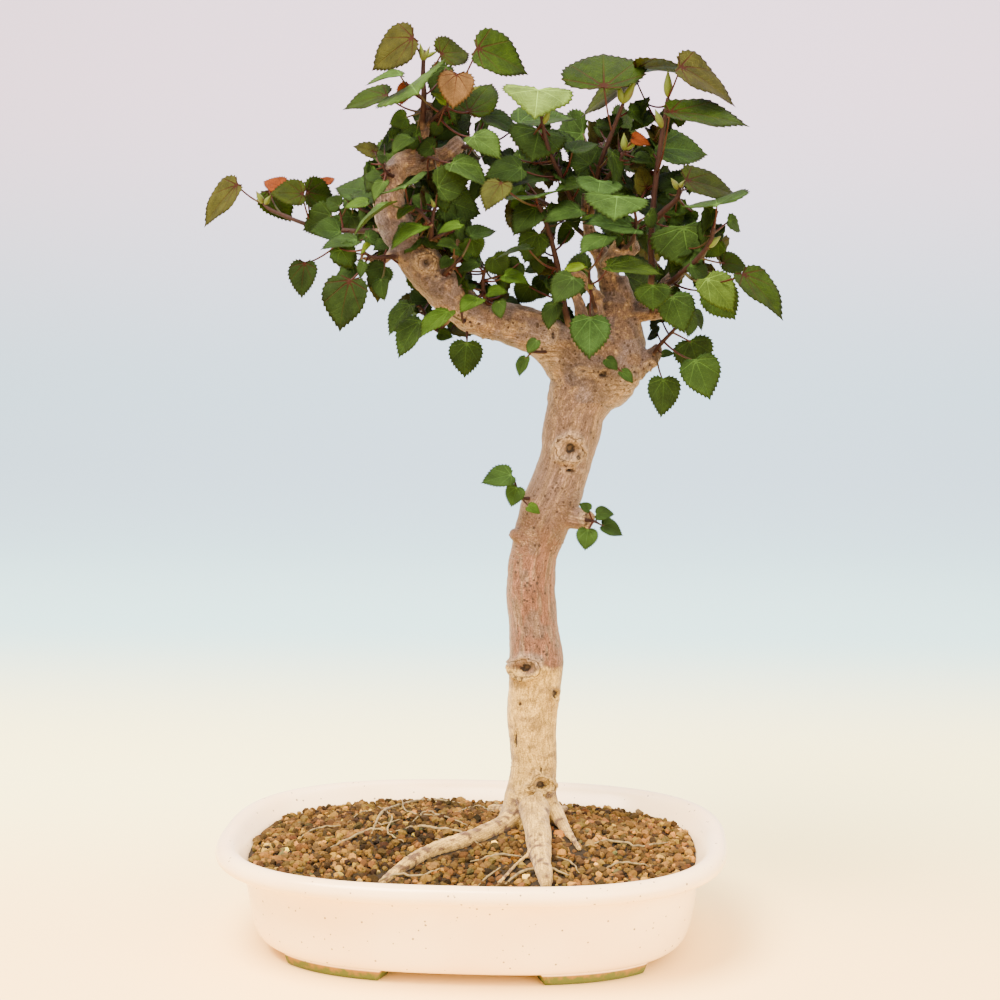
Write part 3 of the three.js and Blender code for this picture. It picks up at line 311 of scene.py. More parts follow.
STUBS = [
    [(405, 168, 8, 9), (416, 148, 8, 9), (424, 124, 7, 7), (431, 102, 6, 6.5)],
    [(398, 182, 5, 6), (391, 163, 1, 5)],
    [(395, 250, -2, 5), (384, 260, -8, 4), (362, 258, -12, 3)],
    [(438, 276, 0, 6), (452, 266, -4, 4), (459, 238, -8, 3)],
    [(585, 330, 6, 8), (579, 305, 2, 6), (572, 286, 0, 5)],
    [(600, 300, 6, 6), (588, 286, 1, 4.5), (579, 274, -1, 4.5), (568, 272, -2, 4)],
    [(600, 330, 8, 7), (595, 290, 4, 5.5)],
    [(613, 300, 17, 12), (604, 262, 17, 9), (590, 232, 16, 7), (585, 192, 15, 5)],
    [(606, 268, 12, 9), (622, 250, 6, 11), (638, 244, 3, 7)],
    [(630, 256, 5, 5), (633, 235, -2, 4.5)],
    [(630, 322, 14, 9), (650, 300, 12, 7), (679, 271, 10, 5)],
    [(632, 318, 10, 7), (666, 313, 4, 5)],
    [(630, 370, 10, 14), (652, 356, 7, 9), (659, 346, 5, 5)],
    [(558, 512, 14, 13), (575, 518, 6, 11), (590, 520, 2, 9)],
    [(518, 536, 6, 8), (511, 533, 4, 4)],
]
ROOTS = [
    [
        (518, 812, 8, 12), (500, 826, -9, 10), (470, 838, -23, 8), (430, 851, -34, 7.5), (405, 865, -46, 6.5),
        (380, 884, -61, 4),
    ],
    [(534, 806, 0, 16), (538, 832, -20, 13), (541, 858, -42, 11), (546, 882, -64, 7.5), (547, 894, -68, 3)],
    [(552, 808, 8, 10), (566, 829, -12, 5), (580, 850, -30, 3)],
    [(540, 846, -30, 4), (519, 862, -44, 2.5), (498, 884, -65, 2)],
    [(540, 804, 20, 12), (552, 811, 40, 7), (566, 809, 56, 4)],
    [(526, 804, 20, 12), (508, 810, 40, 7), (490, 808, 56, 4)],
]
# Healed scars: [right, down, half width, half height, share that is hole, height of the ring in mm]
SCARS = [
    (570, 449, 17, 18, 0.34, 2.6), (577, 457, 3, 4, 0.7, 0.4), (571, 471, 13, 3, 0.5, 0.6),
    (525, 668, 21, 14, 0.38, 2.4), (541, 785, 15, 12, 0.42, 2.2), (426, 262, 14, 13, 0.22, 1.8),
    (555, 694, 6, 9, 0.6, 0.8), (553, 336, 7, 15, 0.3, 1.0), (583, 370, 11, 5, 0.2, 0.9),
    (642, 381, 12, 6, 0.2, 1.0), (650, 365, 8, 8, 0.2, 0.8), (522, 328, 8, 6, 0.2, 0.8),
    (462, 311, 7, 9, 0.2, 0.8), (488, 338, 8, 4, 0.3, 0.7), (407, 232, 7, 7, 0.2, 0.8),
    (588, 519, 9, 9, 0.2, 1.2), (621, 246, 9, 7, 0.5, 0.8), (470, 322, 8, 7, 0.25, 0.7),
    (508, 328, 8, 7, 0.25, 0.7), (600, 375, 9, 7, 0.24, 0.8), (634, 372, 8, 8, 0.2, 0.8),
    (531, 533, 5, 4, 0.3, 0.5), (520, 704, 3, 3, 0.7, 0.3), (541, 770, 3, 8, 0.5, 0.2),
    (516, 740, 2.2, 12, 0.75, 0.2), (436, 276, 6, 5, 0.3, 0.5), (612, 262, 10, 6, 0.4, 0.7),
    (603, 374, 7, 6, 0.7, 0.5), (648, 374, 4, 7, 0.7, 0.4), (569, 470, 5, 2, 0.6, 0.3),
]
# Old ochre bark in tight folds round the fork: [right, down, half width, half height]
FOLDED_BARK = [(549, 352, 15, 24), (626, 390, 28, 16), (578, 336, 8, 20), (590, 372, 16, 6)]
FOLD_SPACING = 4.8
# Places where the roots were scraped down to the red-brown inner bark: [right, down, half width, half height]
SCRAPES = [
    (500, 821, 4, 1.6), (478, 830, 5, 2.6), (470, 838, 2, 3), (452, 840, 5, 1.8), (442, 849, 4, 2),
    (426, 849, 6, 2.4), (413, 860, 4, 1.6), (398, 866, 5, 2), (541, 845, 2, 3), (546, 864, 4, 1.8),
    (547, 877, 3, 3), (574, 842, 2, 2),
]
WOOD_SIDES = 28
TRUNK_STEPS = 200
BRANCH_STEPS = 120
STUB_STEPS = 30
ROOT_STEPS = 50
# Stubs and roots swell and shrink a little along their run, and all limbs are lumpy: shares of the radius
SWELL = 0.05
SWELL_RUN = 9
LUMP_RISE = 0.07
LUMP_SIZE = 11
BARK_FLAKE = 0.9
SOFTENING = 0.6
SOFTENINGS = 6
# Rounds in which the skin is levelled to find its creases
LEVELLINGS = 10
# Lines of the sheet at the old soil line, at the crown's foot and at two bands of fine rings round the trunk
TRUNK_DEPTH = 12
SOIL_LINE_DOWN = 664
CROWN_DOWN = 400
RING_BANDS_DOWN = (541, 765)
RING_BAND = 2.0
# Size of each pattern of the bark's relief, and how high it stands
STREAK_SIZE, STREAK_RISE = 1.3, 0.06
FINE_SIZE, FINE_RISE = 1.3, 0.3
PATCH_SIZE, PATCH_RISE = 9.0, 0.9
KNOB_SIZE, KNOB_RISE, CROWN_KNOB_RISE = 3.4, 0.25, 0.65
RING_RISE = 0.35
ROOT_WRINKLE_RISE = 0.12
FOLD_RISE = 0.4
# Turn of the rings' and of the roots' wrinkles' wave over a millimetre, in radians
RING_WAVES = 3.2
WRINKLE_WAVES = 1.6
# Scars: size of their ragged places, width of their rings, turn of their folds from the middle to the rim in
# radians, and the deepest pit
SCAR_RAGGEDNESS = 2.6
SCAR_RING_WIDTH = 0.27
SCAR_FOLDS = 28
PIT_DEEPEST = 3.0


def seen(places):
    """Points, in millimetres, of places [..., (right, down, depth)] on the sheet: the ray from the eye
    through the sheet's ruling, followed until it is EYE_DISTANCE + depth ahead of the eye."""
    places = np.asarray(places, float)
    a = (places[..., 0] - SHEET_MIDDLE) * SHEET_RULE
    b = (SHEET_MIDDLE - places[..., 1]) * SHEET_RULE
    far = EYE_DISTANCE + places[..., 2]
    reach = far / (SHEET_DISTANCE * np.cos(EYE_PITCH) + b * np.sin(EYE_PITCH))
    rise = b * np.cos(EYE_PITCH) - SHEET_DISTANCE * np.sin(EYE_PITCH)
    flat = EYE + AHEAD * far[..., None] + RIGHT * (a * reach)[..., None]
    return np.concatenate([flat[..., :2], (EYE[2] + rise * reach)[..., None]], axis=-1)


def real_size(rulings, depth):
    """Millimetres of a size counted in rulings of the sheet, seen at a depth."""
    return rulings * SHEET_RULE * (EYE_DISTANCE + depth) / SHEET_DISTANCE


def trunk_height(down):
    """Height at which a line of the sheet meets the trunk's depth."""
    return seen([SHEET_MIDDLE, down, TRUNK_DEPTH])[2]


def unit(vectors):
    """Vectors divided by their lengths."""
    return vectors / np.linalg.norm(vectors, axis=-1, keepdims=True)


def smooth_path(points, count):
    """A centripetal Catmull-Rom curve through the points, cut into count points: between two points it is
    the cubic whose end slopes come from the chords on both sides, weighed by the roots of their lengths."""
    p = np.concatenate([2 * points[:1] - points[1:2], points, 2 * points[-1:] - points[-2:-1]])
    root = np.linalg.norm(np.diff(p, axis=0), axis=1)[:, None] ** 0.5
    place = np.linspace(0, len(points) - 1, count)
    k = np.minimum(place.astype(int), len(points) - 2)
    t = (place - k)[:, None]
    p0, p1, p2, p3 = p[k], p[k + 1], p[k + 2], p[k + 3]
    d0, d1, d2 = root[k], root[k + 1], root[k + 2]
    leave = ((p1 - p0) / d0 - (p2 - p0) / (d0 + d1) + (p2 - p1) / d1) * d1
    arrive = ((p2 - p1) / d1 - (p3 - p1) / (d1 + d2) + (p3 - p2) / d2) * d1
    return (p1 + leave * t + (3 * (p2 - p1) - 2 * leave - arrive) * t ** 2
            + (2 * (p1 - p2) + leave + arrive) * t ** 3)


def tube(path, radius, sides):
    """Rings of a bar along a path: each point is path + radius * (u * cos a + v * sin a), where u and v are
    unit vectors square to the path and to each other."""
    along = unit(np.gradient(path, axis=0))
    guide = np.eye(3)[np.argmin(np.abs(along).mean(axis=0))]
    u = unit(np.cross(guide, along))
    v = np.cross(along, u)
    a = 2 * np.pi * np.arange(sides) / sides
    around = u[:, None] * np.cos(a)[:, None] + v[:, None] * np.sin(a)[:, None]
    return path[:, None] + np.asarray(radius)[:, None, None] * around


def noise(points, seed):
    """Smooth noise from 0 to 1: a random value at each whole-number place, blended between the eight
    places round a point by 3 t^2 - 2 t^3 along each axis."""
    cell = np.floor(points).astype(np.int64)
    t = points - cell
    t = t * t * (3 - 2 * t)
    total = np.zeros(len(points))
    for corner in np.ndindex(2, 2, 2):
        key = (cell + corner) @ np.array([374761393, 668265263, 1274126177]) + seed * 974711
        key = (key ^ (key >> 13)) * 1274126177
        value = ((key ^ (key >> 16)) & 0xFFFFFF) / 0xFFFFFF
        total += value * np.prod(np.where(corner, t, 1 - t), axis=1)
    return total


def blend(share, low, high):
    """low where share is 0, high where it is 1, and in between by the share, which is kept within 0 and 1."""
    share = np.clip(share, 0, 1)[:, None]
    return low * (1 - share) + high * share


def ramp(value, low, high):
    """0 below low, 1 above high, and 3 t^2 - 2 t^3 in between."""
    t = np.clip((value - low) / (high - low), 0, 1)
    return t * t * (3 - 2 * t)


def store(mesh, name, kind, values):
    """Keeps a colour, a vector or a number with every point of a mesh."""
    layer = mesh.attributes.new(name, kind, "POINT")
    field = {"FLOAT_COLOR": "color", "FLOAT_VECTOR": "vector", "FLOAT": "value"}[kind]
    layer.data.foreach_set(field, np.ascontiguousarray(values, np.float32).ravel())


def taken(items, field, kind, width):
    """One field of a mesh's points or edges, a row for each."""
    values = np.empty(len(items) * width, kind)
    items.foreach_get(field, values)
    return values.reshape(-1, width)


limbs = [(TRUNK, TRUNK_STEPS), (LEFT_BRANCH, BRANCH_STEPS)]
limbs += [(rows, STUB_STEPS) for rows in STUBS] + [(rows, ROOT_STEPS) for rows in ROOTS]
wood_bars, spine, spine_along, spine_radius, spine_run, spine_kind = [], [], [], [], [], []
for kind, (rows, count) in enumerate(limbs):
    rows = np.array(rows, float)
    path = smooth_path(seen(rows[:, :3]), count)
    width = real_size(rows[:, 3], rows[:, 2])
    radius = np.interp(np.linspace(0, len(rows) - 1, count), np.arange(len(rows)), width)
    run = length_along(path)
    swell = 1 + SWELL * np.sin(run / SWELL_RUN + 2 * kind) * (kind > 1)
    rings = tube(path, radius * swell, WOOD_SIDES)
    lumps = noise(rings.reshape(-1, 3) / LUMP_SIZE + 7 * kind, 3).reshape(rings.shape[:2]) - 0.5
    wood_bars.append(path[:, None] + (rings - path[:, None]) * (1 + LUMP_RISE * lumps[..., None]))
    spine.append(path)
    spine_along.append(unit(np.gradient(path, axis=0)))
    spine_radius.append(radius)
    spine_run.append(run)
    spine_kind.append(np.full(count, kind))
spine, spine_along = np.concatenate(spine), np.concatenate(spine_along)
spine_radius, spine_run, spine_kind = map(np.concatenate, (spine_radius, spine_run, spine_kind))

# The limbs are fused like wet clay at the size of a bark flake, then softened at their joins
wood_points, wood_faces = capped_bars(wood_bars)
raw_wood = bpy.data.objects.new("raw_wood", smooth_mesh("raw_wood", wood_points * MM, wood_faces))
bpy.context.scene.collection.objects.link(raw_wood)
fuse = raw_wood.modifiers.new("fuse", "REMESH")
fuse.mode = "VOXEL"
fuse.voxel_size = BARK_FLAKE * MM
soften = raw_wood.modifiers.new("soften", "SMOOTH")
soften.factor = SOFTENING
soften.iterations = SOFTENINGS
bpy.context.view_layer.update()
fused = bpy.data.meshes.new_from_object(raw_wood.evaluated_get(bpy.context.evaluated_depsgraph_get()))
bpy.data.objects.remove(raw_wood)
bark_points = taken(fused.vertices, "co", np.float32, 3).astype(float) / MM
bark_normals = taken(fused.vertices, "normal", np.float32, 3).astype(float)
edges = taken(fused.edges, "vertices", np.int32, 2)

# The nearest point of the limbs' middles gives the bark its direction. Its grain is drawn long by counting
# millimetres along a limb as a few tenths, and each limb starts its grain in a place of its own
POINTS_AT_ONCE = 2000
GRAIN_STRETCH = 0.12
GRAIN_START = 31.7
nearest = np.concatenate([
    np.argmin(((part[:, None] - spine[None]) ** 2).sum(axis=2), axis=1)
    for part in np.array_split(bark_points, max(1, len(bark_points) // POINTS_AT_ONCE))
])
kind = spine_kind[nearest]
grain = bark_points - spine[nearest]
beyond = (grain * spine_along[nearest]).sum(axis=1)
grain -= beyond[:, None] * spine_along[nearest]
run = spine_run[nearest] + beyond
grain[:, 2] += GRAIN_STRETCH * run + GRAIN_START * kind
is_root = kind >= 2 + len(STUBS)
is_branch = kind == 1

# A crease is where the skin's neighbours stand further out than it does
level = bark_points.copy()
count = np.bincount(edges.ravel(), minlength=len(level))[:, None]
for _ in range(LEVELLINGS):
    total = np.zeros_like(level)
    for axis in range(3):
        total[:, axis] = (np.bincount(edges[:, 0], level[edges[:, 1], axis], len(level))
                          + np.bincount(edges[:, 1], level[edges[:, 0], axis], len(level)))
    level = total / count
crease = ((level - bark_points) * bark_normals).sum(axis=1)

SOIL_LINE = trunk_height(SOIL_LINE_DOWN)
streak = noise(grain / STREAK_SIZE, 11)
fine = noise(bark_points / FINE_SIZE, 12)
patch = noise(bark_points / PATCH_SIZE, 13)
crown = is_branch | (bark_points[:, 2] > trunk_height(CROWN_DOWN))
rise_mm = STREAK_RISE * (streak - 0.5) + FINE_RISE * (fine - 0.5) + PATCH_RISE * (patch - 0.5)
rings_band = sum(np.exp(-((bark_points[:, 2] - trunk_height(down)) / RING_BAND) ** 2)
                 for down in RING_BANDS_DOWN)
rise_mm += RING_RISE * np.sin(bark_points[:, 2] * RING_WAVES) * rings_band * (kind == 0)
rise_mm += ROOT_WRINKLE_RISE * np.sin(run * WRINKLE_WAVES + 5 * patch) * is_root
rise_mm += (KNOB_RISE + CROWN_KNOB_RISE * crown) * (noise(bark_points / KNOB_SIZE, 23) - 0.5)
# How far a point lies inside a hole, its share of callus and the turn of its folds; only the front has scars
inside_hole = np.full(len(bark_points), -1.0)
callus = np.zeros(len(bark_points))
folds = np.zeros(len(bark_points))
faces_front = ramp((bark_normals * unit(EYE - bark_points)).sum(axis=1), 0.0, 0.35)
# Where each point stands on the sheet
offset = bark_points - EYE
ahead = offset @ AHEAD
pitch_ahead = ahead * np.cos(EYE_PITCH) - offset[:, 2] * np.sin(EYE_PITCH)
pitch_up = ahead * np.sin(EYE_PITCH) + offset[:, 2] * np.cos(EYE_PITCH)
sheet_right = SHEET_MIDDLE + offset @ RIGHT / pitch_ahead * SHEET_DISTANCE / SHEET_RULE
sheet_down = SHEET_MIDDLE - pitch_up / pitch_ahead * SHEET_DISTANCE / SHEET_RULE
# A scar is a raised, folded ring of callus round a pit; away is 1 at its rim
for right, down, wide, high, share, ring_height in SCARS:
    wobble = 1 + 0.4 * (noise(bark_points / SCAR_RAGGEDNESS + right, 21) - 0.5)
    away = np.hypot((sheet_right - right) / wide, (sheet_down - down) / high) * wobble
    ring = np.exp(-(((away - 0.5 - share / 2) / SCAR_RING_WIDTH) ** 2)) * faces_front
    pit = (1 - ramp(away, share * 0.45, share * 1.1)) * faces_front
    fold = away * SCAR_FOLDS + 9 * noise(bark_points / SCAR_RAGGEDNESS + down, 22)
    rise_mm += ring_height * ring * (1 + 0.3 * np.sin(fold)) - min(PIT_DEEPEST, 0.4 * wide * share) * pit
    inside_hole = np.where(faces_front > 0.3, np.maximum(inside_hole, 1 - away / (0.85 * share)), inside_hole)
    strong = ring * min(1, ring_height)
    folds = np.where(strong > callus, fold, folds)
    callus = np.maximum(callus, strong)
for right, down, wide, high in FOLDED_BARK:
    away = np.hypot((sheet_right - right) / wide, (sheet_down - down) / high)
    strong = 0.9 * np.exp(-1.5 * away ** 2) * faces_front
    fold = 2 * np.pi * sheet_down / FOLD_SPACING + 5 * noise(bark_points / 3.0 + right, 25)
    rise_mm += FOLD_RISE * np.sin(fold) * strong
    folds = np.where(strong > callus, fold, folds)
    callus = np.maximum(callus, strong)
bark_points += bark_normals * rise_mm[:, None]
fused.vertices.foreach_set("co", (bark_points * MM).astype(np.float32).ravel())

# Bark colours: pinkish tan above the old soil line and cream below it, pale along the streaks, greyer and
# patchy in the crown, red-brown where a root was grazed, ochre on callus, and painted shade in the creases
PINK_BARK = np.array(hex_colour("#4C3D35")[:3])
RUDDY_BARK = np.array(hex_colour("#59392A")[:3])
PALE_STREAK = np.array(hex_colour("#7C6849")[:3])
BRANCH_BARK = np.array(hex_colour("#494246")[:3])
BRANCH_PATCH = np.array(hex_colour("#2F292D")[:3])
CREAM_BARK = np.array(hex_colour("#A28849")[:3])
CREAM_SHADE = np.array(hex_colour("#756037")[:3])
ROOT_GRAZE = np.array(hex_colour("#422E26")[:3])
# Dark brown of painted shade, laid in the bark's creases
CREASE_SHADE = np.array(hex_colour("#191513")[:3])
OCHRE_CALLUS = np.array(hex_colour("#7E6D57")[:3])


def patches(size, seed, low, high):
    """Where the bark is patchy: noise of a size in millimetres, 0 below low and 1 above high."""
    return ramp(noise(bark_points / size, seed), low, high)


bark_height = bark_points[:, 2]
bark_colour = blend(0.2 * ramp(streak, 0.45, 0.8), PINK_BARK, PALE_STREAK)
ruddy = (1 - ramp(bark_height, SOIL_LINE + 45, SOIL_LINE + 85)) * patches([2.6, 2.6, 7.0], 14, 0.22, 0.5)
bark_colour = blend(0.66 * ruddy * (1 - ramp(streak, 0.6, 0.8)), bark_colour, RUDDY_BARK)
bark_colour = blend(0.55 * crown * patches(1.5, 24, 0.62, 0.78), bark_colour, PALE_STREAK)
bark_colour = blend(0.7 * crown * patches(6.0, 15, 0.42, 0.62), bark_colour, BRANCH_BARK)
grey = patches(8.0, 16, 0.58 - 0.1 * is_branch, 0.7 - 0.08 * is_branch)
bark_colour = blend(0.8 * crown * grey, bark_colour, BRANCH_PATCH)
cream = blend(0.8 * patches([6.0, 6.0, 2.4], 17, 0.4, 0.75), CREAM_BARK, CREAM_SHADE)
below = 1 - ramp(bark_height + 6 * (noise(bark_points / 7.0, 18) - 0.5), SOIL_LINE - 1.2, SOIL_LINE + 1.2)
bark_colour = blend(np.maximum(below, is_root), bark_colour, cream)
graze = 0.9 * is_root * patches(2.2, 19, 0.54, 0.6) * patches(8.0, 20, 0.36, 0.54)
for right, down, wide, high in SCRAPES:
    away = np.hypot((sheet_right - right) / wide, (sheet_down - down) / high)
    away *= 0.5 + noise(bark_points / 1.6 + right, 26)
    graze = np.maximum(graze, 0.85 * is_root * faces_front * (1 - ramp(away, 0.7, 0.95)))
bark_colour = blend(graze, bark_colour, ROOT_GRAZE)
bark_colour = blend(0.7 * callus * (1 - below), bark_colour, OCHRE_CALLUS)
# Painted shade: the bark is darkened where its skin lies sunk below its neighbours, in the creases
bark_colour = blend(0.85 * ramp(crease, 0.25, 0.9), bark_colour, CREASE_SHADE)

store(fused, "bark", "FLOAT_COLOR", np.column_stack([bark_colour, np.ones(len(bark_colour))]))
store(fused, "grain", "FLOAT_VECTOR", grain * MM)
store(fused, "scar", "FLOAT_VECTOR", np.column_stack([inside_hole, callus, folds]))
store(fused, "crown", "FLOAT", crown)
fused.polygons.foreach_set("use_smooth", np.ones(len(fused.polygons), bool))

# Living bark: dull and dry, with fine lengthwise cracks a millimetre apart and small dark pores
CRACK_SIZE = 1.25
CRACK_SQUEEZE = (1.0, 1.0, 2.6)
SPECKLE_SIZE = 0.6667
CRUST_SIZE = 2.2222
CRUST_SHARE = 0.75
HAIR_CRACK_SIZE = 1.1111
HAIR_CRACK_LIGHT = 1.75
PORE_SPACING = 2.5
FRAY_SIZE = 1.4286
PORE_BROWN = "#231B17"
FOLD_BROWN = "#261C16"
# Near-black painted shade inside the scars' holes
HOLE_SHADE = "#15100E"
ROTTEN_WOOD = "#4A3D2E"
hibiscus_bark, tree, shader = new_material("living_hibiscus_bark")
place = add_node(tree, "TexCoord").outputs["Object"]
grain_place = add_node(tree, "Attribute", attribute_name="grain").outputs["Vector"]
base = add_node(tree, "Attribute", attribute_name="bark").outputs["Color"]
short_grain = add_node(tree, "VectorMath", {0: grain_place, 1: CRACK_SQUEEZE},
                       operation="MULTIPLY").outputs[0]
crack = add_node(tree, "TexNoise", {"Vector": short_grain, "Scale": 1000 / CRACK_SIZE,
                                    "Detail": 5.0, "Roughness": 0.75}).outputs["Fac"]
speckle = add_node(tree, "TexNoise", {"Vector": place, "Scale": 1000 / SPECKLE_SIZE,
                                      "Detail": 3.0}).outputs["Fac"]
brightness = add_node(tree, "MapRange", {"Value": crack, 1: 0.38, 2: 0.62, 3: 0.55, 4: 1.42}).outputs[0]
# In the crown the bark is wrinkled and crusty all ways rather than cracked lengthwise
crust = add_node(tree, "TexNoise", {"Vector": place, "Scale": 1000 / CRUST_SIZE,
                                    "Detail": 6.0, "Roughness": 0.8}).outputs["Fac"]
crusty = add_node(tree, "MapRange", {"Value": crust, 1: 0.4, 2: 0.6, 3: 0.5, 4: 1.45}).outputs[0]
in_crown = add_node(tree, "Attribute", attribute_name="crown").outputs["Fac"]
crust_share = add_node(tree, "Math", {0: in_crown, 1: CRUST_SHARE}, operation="MULTIPLY").outputs[0]
brightness = add_node(tree, "Mix", {0: crust_share, 2: brightness, 3: crusty}).outputs[0]
speckled = add_node(tree, "MapRange", {"Value": speckle, 1: 0.38, 2: 0.62, 3: 0.66, 4: 1.3}).outputs[0]
both = add_node(tree, "Math", {0: brightness, 1: speckled}, operation="MULTIPLY").outputs[0]
lit = add_node(tree, "VectorMath", {0: base, "Scale": both}, operation="SCALE").outputs[0]
# Pale hair cracks, and dark pores; both are few below the old soil line, where the bark was kept moist
hair = add_node(tree, "TexNoise", {"Vector": grain_place, "Scale": 1000 / HAIR_CRACK_SIZE,
                                   "Detail": 3.0}).outputs["Fac"]
hair_share = add_node(tree, "MapRange", {"Value": hair, 1: 0.56, 2: 0.61, 3: 0.0, 4: 0.8}).outputs[0]
height = add_node(tree, "SeparateXYZ", {0: place}).outputs["Z"]
dry = add_node(tree, "MapRange", {"Value": height, 1: SOIL_LINE * MM, 2: (SOIL_LINE + 2) * MM,
                                  3: 0.25, 4: 1.0}).outputs[0]
hair_share = add_node(tree, "Math", {0: hair_share, 1: dry}, operation="MULTIPLY").outputs[0]
pale_lit = add_node(tree, "VectorMath", {0: lit, "Scale": HAIR_CRACK_LIGHT}, operation="SCALE").outputs[0]
lit = add_node(tree, "Mix", {0: hair_share, 6: lit, 7: pale_lit}, data_type="RGBA").outputs[2]
pore_cell = add_node(tree, "TexVoronoi", {"Vector": place, "Scale": 1000 / PORE_SPACING})
pore_pick = add_node(tree, "SeparateColor", {0: pore_cell.outputs["Color"]}).outputs["Green"]
pore_size = add_node(tree, "MapRange", {"Value": pore_pick, 1: 0.3, 2: 1.0, 3: 0.05, 4: 0.34}).outputs[0]
pore_edge = add_node(tree, "Math", {0: pore_size, 1: pore_cell.outputs["Distance"]},
                     operation="SUBTRACT").outputs[0]
pore = add_node(tree, "MapRange", {"Value": pore_edge, 1: 0.0, 2: 0.02, 3: 0.0, 4: 0.92}).outputs[0]
pore = add_node(tree, "Math", {0: pore, 1: dry}, operation="MULTIPLY").outputs[0]
colour = add_node(tree, "Mix", {0: pore, 6: lit, 7: hex_colour(PORE_BROWN)}, data_type="RGBA").outputs[2]
# Scars: dark lines between the folds of the callus, and a ragged hole in painted shade with paler rotten wood
# in its middle
scar = add_node(tree, "Attribute", attribute_name="scar").outputs["Vector"]
scar = add_node(tree, "SeparateXYZ", {0: scar}).outputs
frayed = add_node(tree, "TexNoise", {"Vector": place, "Scale": 1000 / FRAY_SIZE,
                                     "Detail": 4.0, "Roughness": 0.7}).outputs["Fac"]
fold_phase = add_node(tree, "Math", {0: frayed, 1: 6.0, 2: scar["Z"]}, operation="MULTIPLY_ADD").outputs[0]
fold_wave = add_node(tree, "Math", {0: fold_phase}, operation="SINE").outputs[0]
fold_line = add_node(tree, "MapRange", {"Value": fold_wave, 1: 0.55, 2: 0.85, 3: 0.0, 4: 0.85}).outputs[0]
fold_line = add_node(tree, "Math", {0: fold_line, 1: scar["Y"]}, operation="MULTIPLY").outputs[0]
colour = add_node(tree, "Mix", {0: fold_line, 6: colour, 7: hex_colour(FOLD_BROWN)},
                  data_type="RGBA").outputs[2]
# The hole is painted shade at its ragged edge, turning to paler rotten wood towards its middle
hole_edge = add_node(tree, "Math", {0: frayed, 1: 1.2, 2: -0.6}, operation="MULTIPLY_ADD").outputs[0]
hole_edge = add_node(tree, "Math", {0: hole_edge, 1: scar["X"]}, operation="ADD").outputs[0]
hole_share = add_node(tree, "MapRange", {"Value": hole_edge, 1: 0.0, 2: 0.16, 3: 0.0, 4: 0.95}).outputs[0]
hole_shade_and_rot = add_node(tree, "MapRange", {"Value": hole_edge, 1: 0.42, 2: 0.7, 3: 0.0, 4: 0.7}).outputs[0]
hole_shade_and_rot = add_node(tree, "Mix", {0: hole_shade_and_rot, 6: hex_colour(HOLE_SHADE), 7: hex_colour(ROTTEN_WOOD)},
                  data_type="RGBA").outputs[2]
colour = add_node(tree, "Mix", {0: hole_share, 6: colour, 7: hole_shade_and_rot}, data_type="RGBA").outputs[2]
tree.links.new(colour, shader.inputs["Base Color"])
relief = add_node(tree, "Bump", {"Height": crack, "Strength": 0.7, "Distance": 0.0007})
tree.links.new(relief.outputs[0], shader.inputs["Normal"])
shader.inputs["Roughness"].default_value = 0.82
shader.inputs["Specular IOR Level"].default_value = 0.25
shader.inputs["Sheen Weight"].default_value = 0.35
shader.inputs["Sheen Roughness"].default_value = 0.4
shader.inputs["Sheen Tint"].default_value = hex_colour("#F0E2D2")
fused.materials.clear()
wood = add_piece("trunk_and_branches", fused, [hibiscus_bark])
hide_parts("trunk")

# The soil
# Loose granules of baked clay, pumice and grit, two to five millimetres across, heaped up to the roots.
# They are poured in dry and watered down, so nothing but their own weight and the roots holds them.
BED_LENGTH_RISE = 31.5
BED_REACH = 78.8
BED_EDGE_HEIGHT = 46.5
BED_RISE = 11
BED_INSET = 94.5
BED_SINK = 1.3
# [inset of the soil's side, height], from the pot's floor up to the rim of the bed
BED_SIDE = [(60, 11.6), (32, 11.6), (23.15, 20), (20.65, 31), (17.45, 43)]
MOUND_SHOULDER = 1.5
MOUND_POWER = 1.6
# How far out a place is gets found between 0 and this share by so many halvings
FARTHEST_SHARE = 1.3
HALVINGS = 24
BED_SIDES = 160
BED_STEPS = 34
BED_CORE = 0.03
BED_LUMP_SIZE = 2.6
BED_LUMP_RISE = 1.2
# The bed under the granules is damp dark soil, made darker still as painted shade in the gaps between them
DAMP_BED_AND_GAP_SHADE = "#231E17"
# Granules lie in rows on a grid that reaches this far from the middle, each shifted by up to this share
GRANULE_REACH_X = 112
GRANULE_REACH_Y = 81
GRANULE_SPACING = 3.0
GRANULE_ROW_SHARE = 0.87
GRANULE_SHIFT = 0.36
# They keep clear of the oval's edge, lie a little sunk, and sink more within this gap of a root
GRANULE_LIMIT = 0.965
GRANULE_SINK = 0.9
ROOT_SINK = 1.5
ROOT_GAP = 6
# Half sizes, and how much of the cube is rounded off
GRANULE_SMALLEST = 0.85
GRANULE_LARGEST = 2.35
ROUNDNESS = 0.86
# Shares by which they are squashed, the largest few swollen, and all roughened, and by which they are lit
GRANULE_SQUASH = (0.75, 1.2)
GRANULE_SWELL = 0.35
SWELL_OVER = 0.92
GRANULE_ROUGHNESS = (0.72, 1.14)
GRANULE_LIGHT = (0.42, 1.75)
GRANULE_HUE = (0.86, 1.14)
GRANULE_COLOURS = [
    "#5F4720", "#533E1D", "#433318", "#785925", "#362814", "#261C0F", "#474327", "#B09448", "#4B3018",
]
GRANULE_SHARES = [0.27, 0.22, 0.18, 0.14, 0.1, 0.04, 0.015, 0.01, 0.025]
# The damp part of the heap, left of the middle: where it is densest, how far it fades, size of its patches
DAMP_X = -32
DAMP_REACH = 52
DAMP_SIZE = 12
DAMPNESS = [0.64, 0.64, 0.66]


